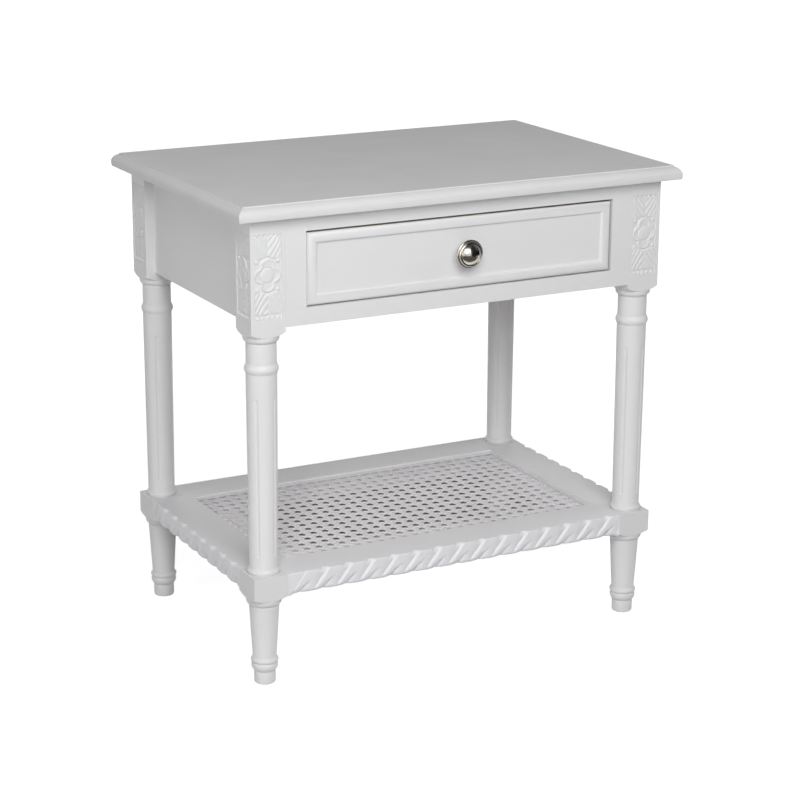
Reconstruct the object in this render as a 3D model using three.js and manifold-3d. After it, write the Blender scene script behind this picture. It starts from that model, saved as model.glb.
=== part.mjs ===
// A side table: a moulded top on four turned and fluted legs, a drawer between them, and a low
// shelf of cane webbing in a frame whose front and side edges are carved with leaning lobes.
// Millimetres. X runs to the right of the front, Y to the back and Z up. The origin lies on the
// floor, under the middle of the table.

import * as THREE from "three";
import { mergeVertices } from "three/addons/utils/BufferGeometryUtils.js";
import Module from "manifold-3d";

// The whole table.
const tableWidth = 600;
const tableDepth = 403;
const tableHeight = 594;

// Fits: glued faces keep a glue line, and pieces that slide or lie loose keep a little more.
const glueLine = 0.1;
const looseGap = 0.3;
// How far a cut runs past the face that it opens.
const overrun = 2;
// Points closer together than this are one point.
const weld = 0.0005;

// The top, with a thumb moulding on all four edges and a small step where the flat begins.
const topThickness = 17.2;
const topOverhangSide = 20.5;
const topOverhangFront = 16.95;
const noseHeight = 7.3;
const noseUndercut = 1.6;
const thumbDepth = 7.6;
const stepHeight = 1.4;
const stepDepth = 0.6;
const thumbBendShares = [0.18, 0.75];
const underBendShares = [0, 0.3];
const thumbSteps = 4;
const underSteps = 2;

// The legs: square posts, turned above and below the block that holds the shelf.
const postSide = 44.1;
const footRadius = 13.2;
const footRound = 2.4;
const footHeight = 16.1;
const ankleLowHeight = 10.5;
const ankleHighHeight = 7.4;
const ankleMiddleRadius = 15.6;
const ankleTopRadius = 14.7;
const footTaperRadius = 18.3;
const baseRadius = 18.4;
const baseBeadHeight = 7.4;
const shaftLowRadius = 17.25;
const shaftHighRadius = 18.6;
const ringHeight = 11;
const beadRise = 1.9;
const neckHeight = 25.3;
const neckTopRadius = 18.2;
const grooveHeight = 0.7;
const grooveDepth = 0.6;
const collarRelief = 0.3;
const lowerSwellHeight = 6.6;
const lowerBandHeight = 2.4;
const lowerPommelHeight = 4.5;
const upperSwellHeight = 5.3;
const upperBandHeight = 3;
const upperPommelHeight = 6;
const swellRise = 1.1;
const blockBelowFrame = 4.7;
const shelfBlockHeight = 26.8;
const beadSteps = 3;
const swellSteps = 3;
const pommelSteps = 2;

// The flutes: narrow round-ended grooves, spaced evenly round the tapered shaft.
const fluteCount = 5;
const facetsPerFlute = 3;
const fluteWidth = 5.2;
const fluteDepth = 1.1;
const fluteAboveBead = 14.2;
const fluteBelowRing = 27.7;
const fluteSides = 10;
const fluteCapSteps = 2;
// The turn of each leg's first flute, in degrees from the front towards the right.
const fluteTurns = { front_left: -45, front_right: -53, rear_left: 45, rear_right: -45 };

// The sunk panel on each outward face of a leg's top block, with its round flower.
const panelWidth = 35.2;
const panelHeight = 100.1;
const panelTopMargin = 18.9;
const panelDepth = 1.8;
const flowerAbovePanelMiddle = 1.5;
const petalRadius = 18.3;
const petalRise = 1.1;
const bossRadius = 9.6;
const bossRise = 1.7;
const flowerSides = 12;
// The section of the flower: shares of the petal radius or boss radius, and of the rise.
const petalRimShares = [0.93, 0.9];
const petalRootShares = [1.12, 0.7];
const bossFootShares = [1, 0.35];
const bossShoulderShares = [0.72, 0.85];

// The frame that holds the drawer. The rails are flush with the legs, the aprons set back.
const upperRailHeight = 19.6;
const openingHeight = 90.6;
const lowerRailHeight = 20.8;
const railDepth = 42;
const railTenonSetback = 10;
const stileWidth = 26.4;
const stileThickness = 20;
const stileTongueWidth = 12;
const stileTongueLength = 6;
const apronSetback = 12.3;
const apronThickness = 18;
const tenonThickness = 8;
const tenonWall = 2.7;
const railTenonShoulder = 4;
const apronTenonShoulder = 12;

// What the drawer runs on, between and under, and what holds the top.
const runnerWidth = 45;
const runnerThickness = 18;
const runnerTongueLength = 6;
const runnerTongueHeight = 8;
const runnerTongueShoulder = 8;
const guideHeight = 15;
const stopWidth = 30;
const stopDepth = 12;
const stopHeight = 6;
const stopFromMiddle = 120;
const cornerBlockReach = 30;
const cornerBlockMargin = 3;
const topScrewFromEnd = 45;
const topScrewBite = 10;
const counterboreDepth = 5;
const screwRadius = 2;
const screwHeadRadius = 4;
const screwHeadHeight = 2.6;
const screwSides = 10;

// The drawer, with a raised moulding round its front and dovetailed front corners.
const drawerTopGap = 2.4;
const drawerSideGap = 1.6;
const drawerBottomGap = 1.2;
const drawerBackRoom = 50.3;
const drawerFrontThickness = 18;
const drawerSideThickness = 12;
const drawerSideTopGap = 1.8;
const drawerBackThickness = 12;
const drawerBackSetIn = 8;
const drawerBackDrop = 6;
const drawerBottomThickness = 5;
const drawerBottomLevel = 8.2;
const bottomGrooveDepth = 6;
const backDadoDepth = 4;
const borderWidth = 11.8;
const borderRound = 3.2;
const borderCrest = 5.6;
const fieldDepth = 3.8;
const borderSteps = 3;
const borderBendShares = [0.35, 0.95];
const tailCount = 3;
const tailLength = 10;
const tailNarrowWidth = 15;
const tailWideWidth = 19;

// The knob: a foot, a waist, a wide rim and a lower dome in front of it.
const knobRadius = 17.35;
const knobFootRadius = 8;
const knobFootHeight = 2;
const knobWaistRadius = 6.2;
const knobWaistHeight = 9;
const knobRimHeight = 17;
const knobRimThickness = 1.6;
const knobDomeRadius = 12.8;
const knobDomeStep = 2.8;
const knobProjection = 27;
const knobAboveMiddle = 0.5;
const knobSides = 20;
const knobDomeSteps = 3;
const knobFlareShares = [0.9, 0.35];
const knobFlareSteps = 4;
const knobScrewBite = 12;

// The shelf: rails between the leg blocks, and cane laid on a ledge and held by splines.
const shelfTop = 141.5;
const shelfThickness = 28;
const shelfRailFace = 53.5;
const shelfLedge = 9;
const shelfRecess = 5.5;
const shelfTenonWidth = 20;
const shelfTenonThickness = 9;
const caneThickness = 2;
const caneHolePitch = 20;
const caneHoleWidth = 11;
const caneHoleSides = 6;
const caneRim = 14;
const splineWidth = 3;
const splineHeight = 2.2;

// The carved shelf edge: lobes that lean to the right, with a dart low between each two.
const lobePitch = 30.9;
const lobeLean = 21;
const lobeDepth = 2.6;
const lastLobeFromEnd = 15.2;
const spareLobes = 1;
const edgeRound = 6.5;
// Each row of the edge: share of its height from the top, of the edge round, and of the dart.
const edgeRowShares = [
  [0, 0.1, 0],
  [0.08, 0, 0],
  [0.5, 0, 0.3],
  [0.82, 0.25, 1],
  [1, 1, 1],
];
// Each column of a lobe: share of the pitch, and shares of its depth above and between darts. A lobe
// rises steeply on its left and falls off softly to its right.
const lobeColumnShares = [
  [0, 1, 1],
  [0.1, 0.04, 0.1],
  [0.35, 0, 0.3],
  [0.55, 0.12, 1],
  [0.65, 0.25, 0.35],
  [0.86, 0.62, 0.75],
];

// Places that follow from the sizes above.
const halfPost = postSide / 2;
const outerX = tableWidth / 2 - topOverhangSide;
const outerY = tableDepth / 2 - topOverhangFront;
const legX = outerX - halfPost;
const legY = outerY - halfPost;
const innerX = outerX - postSide;
const innerY = outerY - postSide;
const topUnder = tableHeight - topThickness;
const frameTop = topUnder - glueLine;
const openingTop = topUnder - upperRailHeight;
const openingBottom = openingTop - openingHeight;
const frameBottom = openingBottom - lowerRailHeight;
const openingHalf = innerX - stileWidth;
const apronMiddle = apronSetback + apronThickness / 2;
const apronInnerX = outerX - apronSetback - apronThickness;
const apronInnerY = outerY - apronSetback - apronThickness;
const tenonLength = postSide - apronMiddle - tenonThickness / 2 - tenonWall;
const railBack = railDepth - outerY;
const runnerOuterX = innerX - looseGap;
const runnerInnerX = runnerOuterX - runnerWidth;
const screwX = (runnerOuterX + runnerInnerX) / 2;
const drawerHalf = openingHalf - drawerSideGap;
const drawerInnerHalf = drawerHalf - drawerSideThickness;
const drawerFrontHeight = openingHeight - drawerTopGap - drawerBottomGap;
const knobLevel = drawerFrontHeight / 2 + knobAboveMiddle;
const drawerSideBottom = looseGap - drawerBottomGap;
const drawerSideTop = openingHeight - drawerBottomGap - drawerSideTopGap;
const drawerLength = outerY + apronInnerY - drawerBackRoom;
const drawerBackRear = drawerLength - drawerBackSetIn;
const shelfRailWidth = shelfRailFace + shelfLedge;
const recessX = outerX - shelfRailFace;
const recessY = outerY - shelfRailFace;
const ledgeLevel = -shelfRecess - caneThickness;
const shelfTenonMiddle = -shelfThickness / 2;
const shelfTenonLength = (postSide - shelfTenonWidth) / 2 - tenonWall;

// Finishes, as the eye takes them from a step away.
const whitePaint = { color: 0xe9e8e6, roughness: 0.45, metalness: 0 };
const canePaint = { color: 0xe2e0dc, roughness: 0.6, metalness: 0 };
const bareWood = { color: 0xd6bf98, roughness: 0.75, metalness: 0 };
const nickel = { color: 0xc4c2bd, roughness: 0.18, metalness: 1 };
const steel = { color: 0x9a9a98, roughness: 0.4, metalness: 1 };

const wasm = await Module();
wasm.setup();

// Turns a closed three.js geometry into a solid that can be joined and cut.
function solid(geometry) {
  const bare = new THREE.BufferGeometry();
  bare.setAttribute("position", geometry.getAttribute("position"));
  bare.setIndex(geometry.getIndex());
  const merged = mergeVertices(bare, weld);
  const mesh = new wasm.Mesh({
    numProp: 3,
    vertProperties: merged.getAttribute("position").array,
    triVerts: new Uint32Array(merged.getIndex().array),
  });
  return new wasm.Manifold(mesh);
}

// Turns a solid back into a geometry that a mesh can draw.
function drawable(body) {
  const { numProp, vertProperties, triVerts } = body.getMesh();
  const points = new THREE.BufferAttribute(new Float32Array(vertProperties), numProp);
  const geometry = new THREE.BufferGeometry();
  geometry.setAttribute("position", points);
  geometry.setIndex(new THREE.BufferAttribute(new Uint32Array(triVerts), 1));
  geometry.computeVertexNormals();
  return geometry;
}

// A named piece with its own material.
function piece(name, body, finish) {
  const mesh = new THREE.Mesh(drawable(body), new THREE.MeshStandardMaterial(finish));
  mesh.name = name;
  return mesh;
}

// A box between a low and a high end on each axis.
function box([left, right], [front, back], [bottom, top]) {
  const geometry = new THREE.BoxGeometry(right - left, back - front, top - bottom);
  geometry.translate((left + right) / 2, (front + back) / 2, (bottom + top) / 2);
  return solid(geometry);
}

// The low and high ends of a stretch from near to far, on one side of the middle.
function span(side, near, far) {
  return side > 0 ? [near, far] : [-far, -near];
}

// The low and high ends of a stretch of one width about its middle.
function about(middle, width) {
  return [middle - width / 2, middle + width / 2];
}

// The same stretch with its ends moved out, or moved in where the amount is negative.
function grown([low, high], amount) {
  return [low - amount, high + amount];
}

function without(body, cuts) {
  return cuts.reduce((rest, cut) => rest.subtract(cut), body);
}

// A round solid about the Y axis. Its outline runs from the axis, over the outside, to the axis.
function turning(outline, sides, firstTurn = 0) {
  return new THREE.LatheGeometry(outline, sides, firstTurn);
}

// A round bar from one point up the Z axis, for holes.
function upright(radius, sides, x, y, [bottom, top]) {
  const geometry = new THREE.CylinderGeometry(radius, radius, top - bottom, sides);
  geometry.rotateX(Math.PI / 2);
  geometry.translate(x, y, (bottom + top) / 2);
  return solid(geometry);
}

// A flat outline in X and Y, drawn up from one level to another.
function prism(corners, [bottom, top]) {
  const outline = new THREE.Shape(corners.map(([x, y]) => new THREE.Vector2(x, y)));
  const settings = { depth: top - bottom, bevelEnabled: false };
  const geometry = new THREE.ExtrudeGeometry(outline, settings);
  geometry.translate(0, 0, bottom);
  return solid(geometry);
}

// A rectangular slab whose edge steps in from ring to ring, with mitred corners. Each ring is
// how far it lies in from the outline, and its level.
function ringSlab(halfWidth, halfHeight, rings) {
  const places = [];
  for (const [inset, level] of rings) {
    const x = halfWidth - inset;
    const y = halfHeight - inset;
    places.push(-x, -y, level, x, -y, level, x, y, level, -x, y, level);
  }
  const faces = [0, 2, 1, 0, 3, 2];
  for (let ring = 0; ring + 1 < rings.length; ring += 1) {
    for (let corner = 0; corner < 4; corner += 1) {
      const here = ring * 4 + corner;
      const next = ring * 4 + ((corner + 1) % 4);
      faces.push(here, next, next + 4, here, next + 4, here + 4);
    }
  }
  const last = (rings.length - 1) * 4;
  faces.push(last, last + 1, last + 2, last, last + 2, last + 3);
  const geometry = new THREE.BufferGeometry();
  geometry.setAttribute("position", new THREE.Float32BufferAttribute(places, 3));
  geometry.setIndex(faces);
  return geometry;
}

// Points of a curve between two ring places that bends towards a third, without the first.
function bend(from, towards, to, steps) {
  const [start, middle, end] = [from, towards, to].map(([x, y]) => new THREE.Vector2(x, y));
  const curve = new THREE.QuadraticBezierCurve(start, middle, end);
  return curve.getPoints(steps).slice(1).map(({ x, y }) => [x, y]);
}

// A place inside a rectangle between two corners, at a share of its width and of its height.
function between([x0, y0], [x1, y1], [shareX, shareY]) {
  return [THREE.MathUtils.lerp(x0, x1, shareX), THREE.MathUtils.lerp(y0, y1, shareY)];
}

// The top, from its underside at level 0.
function topPanel() {
  const low = [noseUndercut, 0];
  const nose = [0, noseHeight];
  const thumbEnd = [thumbDepth, topThickness - stepHeight];
  const rings = [
    low,
    ...bend(low, between(low, nose, [1 - underBendShares[0], underBendShares[1]]), nose, underSteps),
    ...bend(nose, between(nose, thumbEnd, thumbBendShares), thumbEnd, thumbSteps),
    [thumbDepth + stepDepth, topThickness],
  ];
  const slab = solid(ringSlab(tableWidth / 2, tableDepth / 2, rings));
  const holes = screwPlaces().map(({ x, y }) =>
    upright(screwRadius + glueLine, screwSides, x, y, [-overrun, topScrewBite + glueLine]),
  );
  return without(slab, holes);
}

// The names and places of the screws that hold the top.
function screwPlaces() {
  const places = [];
  const rows = [
    ["front", railBack + topScrewFromEnd],
    ["rear", apronInnerY - topScrewFromEnd],
  ];
  for (const [row, y] of rows) {
    for (const [side, x] of [["left", -screwX], ["right", screwX]]) {
      places.push({ name: row + "_" + side, x, y });
    }
  }
  return places;
}

// The outline that a leg is turned to, from the floor up.
function legOutline() {
  const outline = [];
  const mark = (radius, level) => outline.push(new THREE.Vector2(radius, level));
  const swell = (radius, level, rise, steps) => {
    const from = outline[outline.length - 1];
    for (let step = 1; step <= steps; step += 1) {
      const share = step / steps;
      const straight = THREE.MathUtils.lerp(from.x, radius, share);
      const bulge = rise * Math.sin(Math.PI * share);
      mark(straight + bulge, THREE.MathUtils.lerp(from.y, level, share));
    }
  };
  const collarRadius = halfPost - collarRelief;
  const facetShare = Math.cos(Math.PI / (fluteCount * facetsPerFlute));
  const cornerRadius = (halfPost * Math.SQRT2) / facetShare;
  const clearRadius = cornerRadius + overrun;
  const ankleLow = footHeight + ankleLowHeight;
  const lowerBlock = shelfTop - shelfBlockHeight;
  const lowerPommel = lowerBlock - lowerPommelHeight;
  const lowerBand = lowerPommel - lowerBandHeight;
  const lowerSwell = lowerBand - lowerSwellHeight;

  mark(0, 0);
  mark(footRadius - footRound, 0);
  for (const turn of [Math.PI / 4, Math.PI / 2]) {
    mark(footRadius - footRound * (1 - Math.sin(turn)), footRound * (1 - Math.cos(turn)));
  }
  mark(footRadius, footHeight);
  swell(ankleMiddleRadius, ankleLow, beadRise, beadSteps);
  swell(ankleTopRadius, ankleLow + ankleHighHeight, beadRise, beadSteps);
  mark(footTaperRadius, lowerSwell - grooveHeight);
  mark(footTaperRadius - grooveDepth, lowerSwell);
  swell(collarRadius, lowerBand, swellRise, swellSteps);
  mark(collarRadius, lowerPommel);
  swell(cornerRadius, lowerBlock, swellRise, pommelSteps);
  mark(clearRadius, lowerBlock);
  mark(clearRadius, shelfTop);
  mark(baseRadius, shelfTop);
  swell(shaftLowRadius, shaftBottom(), beadRise, beadSteps);
  mark(shaftHighRadius, shaftTop());
  swell(shaftHighRadius, shaftTop() + ringHeight, beadRise, beadSteps);
  mark(neckTopRadius, upperSwellLevel() - grooveHeight);
  mark(neckTopRadius - grooveDepth, upperSwellLevel());
  swell(collarRadius, upperSwellLevel() + upperSwellHeight, swellRise, swellSteps);
  mark(collarRadius, upperSwellLevel() + upperSwellHeight + upperBandHeight);
  swell(cornerRadius, frameBottom - blockBelowFrame, swellRise, pommelSteps);
  mark(clearRadius, frameBottom - blockBelowFrame);
  mark(clearRadius, frameTop + overrun);
  mark(0, frameTop + overrun);
  return outline;
}

function upperSwellLevel() {
  const block = frameBottom - blockBelowFrame;
  return block - upperPommelHeight - upperBandHeight - upperSwellHeight;
}

function shaftBottom() {
  return shelfTop + baseBeadHeight;
}

function shaftTop() {
  return upperSwellLevel() - grooveHeight - neckHeight - ringHeight;
}

// A round-ended bar that lies along the tapered shaft and cuts one flute.
function fluteCutter(turn) {
  const cutterRadius = (fluteWidth * fluteWidth) / (8 * fluteDepth) + fluteDepth / 2;
  const low = shaftBottom() + fluteAboveBead;
  const high = shaftTop() - fluteBelowRing;
  const slope = (shaftHighRadius - shaftLowRadius) / (shaftTop() - shaftBottom());
  const middle = (low + high) / 2;
  const facetShare = Math.cos(Math.PI / (fluteCount * facetsPerFlute));
  const surface = (shaftLowRadius + slope * (middle - shaftBottom())) * facetShare;
  const straight = high - low - cutterRadius * 2;
  const bar = new THREE.CapsuleGeometry(cutterRadius, straight, fluteCapSteps, fluteSides);
  bar.rotateX(Math.PI / 2 + Math.atan(slope));
  bar.translate(0, fluteDepth - cutterRadius - surface, middle);
  bar.rotateZ(turn);
  return solid(bar);
}

// The flower of a sunk panel, about the Y axis, from the floor of the panel outwards.
function flowerOutline() {
  const shares = [
    [petalRadius, petalRise, petalRimShares],
    [bossRadius, petalRise, petalRootShares],
    [bossRadius, petalRise, bossFootShares],
    [bossRadius, bossRise, bossShoulderShares],
  ];
  const relief = shares.map(([radius, rise, [radiusShare, riseShare]]) =>
    new THREE.Vector2(radius * radiusShare, rise * riseShare),
  );
  return [
    new THREE.Vector2(0, -overrun),
    new THREE.Vector2(petalRadius, -overrun),
    new THREE.Vector2(petalRadius, 0),
    ...relief,
    new THREE.Vector2(0, bossRise),
  ];
}

// Sinks the panel into one outward face of a leg, and leaves the flower standing in it.
function carvedPanel(body, axis, side) {
  const panelTop = topUnder - panelTopMargin;
  const levels = [panelTop - panelHeight, panelTop];
  const across = about(0, panelWidth);
  const depth = span(side, halfPost - panelDepth, halfPost + overrun);
  const sunk = axis === "x" ? box(depth, across, levels) : box(across, depth, levels);
  const flower = turning(flowerOutline(), flowerSides);
  const floor = side * (halfPost - panelDepth);
  const height = panelTop - panelHeight / 2 + flowerAbovePanelMiddle;
  if (axis === "x") {
    flower.rotateZ((-side * Math.PI) / 2);
    flower.translate(floor, 0, height);
  } else {
    flower.rotateX(side > 0 ? 0 : Math.PI);
    flower.translate(0, floor, height);
  }
  return body.subtract(sunk).add(solid(flower));
}

// The sockets of a leg for the tenons of the rails and aprons that meet it.
function legSockets(right, back) {
  const reach = (length) => [-halfPost - overrun, length + glueLine - halfPost];
  const socket = (outward, width) => grown(about(halfPost - outward, width), glueLine);
  const alongX = (length, outward, width, levels) =>
    box(span(right, ...reach(length)), span(back, ...socket(outward, width)), levels);
  const alongY = (length, outward, width, levels) =>
    box(span(right, ...socket(outward, width)), span(back, ...reach(length)), levels);
  const apronLevels = grown(apronTenonLevels(), glueLine);
  const shelfMiddle = shelfTop + shelfTenonMiddle;
  const shelfLevels = grown(about(shelfMiddle, shelfTenonThickness), glueLine);
  const cuts = [
    alongY(tenonLength, apronMiddle, tenonThickness, apronLevels),
    alongX(shelfTenonLength, halfPost, shelfTenonWidth, shelfLevels),
    alongY(shelfTenonLength, halfPost, shelfTenonWidth, shelfLevels),
  ];
  if (back > 0) {
    cuts.push(alongX(tenonLength, apronMiddle, tenonThickness, apronLevels));
  } else {
    for (const levels of [upperRailLevels(), lowerRailLevels()]) {
      const tenon = grown(levels, glueLine - railTenonShoulder);
      cuts.push(alongX(tenonLength, railTenonSetback, tenonThickness, tenon));
    }
  }
  return cuts;
}

// One leg about its own axis. right and back are 1 or -1 for the corner that it stands in.
function leg(right, back, firstFlute) {
  const turn = THREE.MathUtils.degToRad(firstFlute);
  const fluteStep = (Math.PI * 2) / fluteCount;
  const sides = fluteCount * facetsPerFlute;
  const facet = (Math.PI * 2) / sides;
  const turned = turning(legOutline(), sides, turn + facet / 2);
  turned.rotateX(Math.PI / 2);
  const post = box([-halfPost, halfPost], [-halfPost, halfPost], [0, frameTop]);
  const flutes = Array.from({ length: fluteCount }, (_, flute) =>
    fluteCutter(turn + flute * fluteStep),
  );
  let body = without(post.intersect(solid(turned)), flutes);
  body = carvedPanel(body, "x", right);
  if (back < 0) {
    body = carvedPanel(body, "y", back);
  }
  return without(body, legSockets(right, back));
}

// A bar between two legs, with a tenon on each end. axis is the way that it runs.
function tenonedBar(axis, halfLength, across, levels, tenonAcross, tenonLevels, tenonReach) {
  const run = (reach) => [-halfLength - reach, halfLength + reach];
  const along = (length, width, height) =>
    axis === "x" ? box(length, width, height) : box(width, length, height);
  const body = along(run(0), across, levels);
  return body.add(along(run(tenonReach), tenonAcross, tenonLevels));
}

function upperRailLevels() {
  return [openingTop, frameTop];
}

function lowerRailLevels() {
  return [frameBottom, openingBottom];
}

function apronTenonLevels() {
  return grown([frameBottom, frameTop], -apronTenonShoulder);
}

// The two rails over and under the drawer, with sockets for the stiles and the runners.
function frontRail(levels, cuts) {
  const across = [-outerY, railBack];
  const tenonAcross = about(railTenonSetback - outerY, tenonThickness);
  const tenonLevels = grown(levels, -railTenonShoulder);
  const halfLength = innerX - glueLine;
  const bar = tenonedBar("x", halfLength, across, levels, tenonAcross, tenonLevels, tenonLength);
  return without(bar, cuts);
}

function stileMiddle() {
  return (openingHalf + innerX) / 2;
}

// The tongue of a stile, made larger by a gap where it is a socket.
function stileTongue(side, levels, gap) {
  const width = grown(about(side * stileMiddle(), stileTongueWidth), gap);
  const depth = grown(about(stileThickness / 2 - outerY, tenonThickness), gap);
  return box(width, depth, levels);
}

function upperRail() {
  const sockets = [-1, 1].map((side) =>
    stileTongue(side, [openingTop - overrun, openingTop + stileTongueLength + glueLine], glueLine),
  );
  return frontRail(upperRailLevels(), sockets);
}

function lowerRail() {
  const cuts = [];
  for (const side of [-1, 1]) {
    const depth = openingBottom - stileTongueLength - glueLine;
    const run = [railBack - runnerTongueLength - glueLine, railBack + overrun];
    cuts.push(stileTongue(side, [depth, openingBottom + overrun], glueLine));
    cuts.push(runnerTongue(side, run, glueLine));
  }
  return frontRail(lowerRailLevels(), cuts);
}

function stile(side) {
  const levels = [openingBottom + glueLine, openingTop - glueLine];
  const across = span(side, openingHalf, innerX - glueLine);
  const body = box(across, [-outerY, stileThickness - outerY], levels);
  return body.add(stileTongue(side, grown(levels, stileTongueLength), 0));
}

function sideApron(side) {
  const across = span(side, apronInnerX, apronInnerX + apronThickness);
  const tenonAcross = about(side * (outerX - apronMiddle), tenonThickness);
  const levels = [frameBottom, frameTop];
  const halfLength = innerY - glueLine;
  return tenonedBar("y", halfLength, across, levels, tenonAcross, apronTenonLevels(), tenonLength);
}

function backApron() {
  const across = [apronInnerY, apronInnerY + apronThickness];
  const tenonAcross = about(outerY - apronMiddle, tenonThickness);
  const levels = [frameBottom, frameTop];
  const halfLength = innerX - glueLine;
  const bar = tenonedBar("x", halfLength, across, levels, tenonAcross, apronTenonLevels(), tenonLength);
  const run = [apronInnerY - overrun, apronInnerY + runnerTongueLength + glueLine];
  return without(bar, [runnerTongue(-1, run, glueLine), runnerTongue(1, run, glueLine)]);
}

// The tongue of a drawer runner, made larger by a gap where it is a socket.
function runnerTongue(side, run, gap) {
  const width = span(side, runnerInnerX, runnerOuterX);
  const height = about(openingBottom - runnerThickness / 2, runnerTongueHeight);
  return box(grown(width, gap - runnerTongueShoulder), run, grown(height, gap));
}

function runner(side) {
  const run = [railBack + glueLine, apronInnerY - glueLine];
  const levels = [openingBottom - runnerThickness, openingBottom];
  const body = box(span(side, runnerInnerX, runnerOuterX), run, levels);
  return body.add(runnerTongue(side, grown(run, runnerTongueLength), 0));
}

function guide(side) {
  const run = [stileThickness - outerY + looseGap, apronInnerY - looseGap];
  const foot = openingBottom + glueLine;
  return box(span(side, openingHalf, runnerOuterX), run, [foot, foot + guideHeight]);
}

// The bar that stops the drawer tipping. The top is screwed down through it.
function kicker(side) {
  const run = [railBack + glueLine, apronInnerY - glueLine];
  const body = box(span(side, runnerInnerX, runnerOuterX), run, upperRailLevels());
  const cuts = [];
  for (const { x, y } of screwPlaces().filter((place) => Math.sign(place.x) === side)) {
    const seat = openingTop + counterboreDepth;
    cuts.push(upright(screwHeadRadius + looseGap, screwSides, x, y, [openingTop - overrun, seat]));
    cuts.push(upright(screwRadius + looseGap, screwSides, x, y, [seat - overrun, frameTop + overrun]));
  }
  return without(body, cuts);
}

// A wood screw along the Y axis, with its head at the low end.
function screw(length) {
  const outline = [
    [0, 0],
    [screwHeadRadius, 0],
    [screwHeadRadius, screwHeadHeight],
    [screwRadius, screwHeadHeight],
    [screwRadius, screwHeadHeight + length - screwRadius],
    [0, screwHeadHeight + length],
  ];
  return solid(turning(outline.map(([x, y]) => new THREE.Vector2(x, y)), screwSides));
}

function drawerStop(side) {
  const near = drawerFrontThickness - outerY + looseGap;
  const foot = openingBottom + glueLine;
  const across = about(side * stopFromMiddle, stopWidth);
  return box(across, [near, near + stopDepth], [foot, foot + stopHeight]);
}

// A block glued into a rear corner, notched round the leg.
function cornerBlock(side) {
  const legFaceX = innerX - glueLine;
  const legFaceY = innerY - glueLine;
  const apronFaceX = apronInnerX - glueLine;
  const apronFaceY = apronInnerY - glueLine;
  const corners = [
    [apronFaceX, legFaceY - cornerBlockReach],
    [apronFaceX, legFaceY],
    [legFaceX, legFaceY],
    [legFaceX, apronFaceY],
    [legFaceX - cornerBlockReach, apronFaceY],
  ];
  const levels = grown([openingBottom + guideHeight, openingTop], -cornerBlockMargin);
  return prism(corners.map(([x, y]) => [side * x, y]), levels);
}

// The drawer's own frame: Y runs back from the face of its border, Z up from its lower edge.
// Middles of the dovetails along the height of a drawer side.
function tailMiddles() {
  const step = (drawerSideTop - drawerSideBottom) / tailCount;
  return Array.from({ length: tailCount }, (_, tail) => drawerSideBottom + (tail + 1 / 2) * step);
}

// An outline in Y and Z, drawn across X between two places.
function sidePrism(corners, [left, right]) {
  const outline = new THREE.Shape(corners.map(([y, z]) => new THREE.Vector2(y, z)));
  const geometry = new THREE.ExtrudeGeometry(outline, { depth: right - left, bevelEnabled: false });
  const yAxis = new THREE.Vector3(0, 1, 0);
  const zAxis = new THREE.Vector3(0, 0, 1);
  const xAxis = new THREE.Vector3(1, 0, 0);
  geometry.applyMatrix4(new THREE.Matrix4().makeBasis(yAxis, zAxis, xAxis));
  geometry.translate(left, 0, 0);
  return solid(geometry);
}

function drawerFront() {
  const crest = drawerFrontThickness;
  const rings = [
    [0, 0],
    [0, crest - borderRound],
    ...bend([0, crest - borderRound], [0, crest], [borderRound, crest], borderSteps),
    [borderCrest, crest],
  ];
  const crestEnd = [borderCrest, crest];
  const fieldEdge = [borderWidth, crest - fieldDepth];
  rings.push(...bend(crestEnd, between(crestEnd, fieldEdge, borderBendShares), fieldEdge, borderSteps));
  const slab = ringSlab(drawerHalf, drawerFrontHeight / 2, rings);
  slab.rotateX(Math.PI / 2);
  slab.translate(0, drawerFrontThickness, drawerFrontHeight / 2);

  const grooveRun = [drawerFrontThickness - bottomGrooveDepth, drawerFrontThickness + overrun];
  const grooveHalf = drawerInnerHalf + bottomGrooveDepth;
  const cuts = [box([-grooveHalf, grooveHalf], grooveRun, bottomGrooveLevels())];
  const socketTip = drawerFrontThickness - tailLength - glueLine;
  for (const side of [-1, 1]) {
    for (const middle of tailMiddles()) {
      const narrow = tailNarrowWidth / 2 + glueLine;
      const wide = tailWideWidth / 2 + glueLine;
      const flare = ((wide - narrow) * overrun) / tailLength;
      const corners = [
        [drawerFrontThickness + overrun, middle + narrow - flare],
        [socketTip, middle + wide],
        [socketTip, middle - wide],
        [drawerFrontThickness + overrun, middle - narrow + flare],
      ];
      const across = span(side, drawerInnerHalf - glueLine, drawerHalf + overrun);
      cuts.push(sidePrism(corners, across));
    }
  }
  const bore = new THREE.CylinderGeometry(
    screwRadius + looseGap,
    screwRadius + looseGap,
    drawerFrontThickness * 2,
    screwSides,
  );
  bore.translate(0, 0, knobLevel);
  cuts.push(solid(bore));
  return without(solid(slab), cuts);
}

function bottomGrooveLevels() {
  return grown([drawerBottomLevel, drawerBottomLevel + drawerBottomThickness], glueLine);
}

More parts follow.
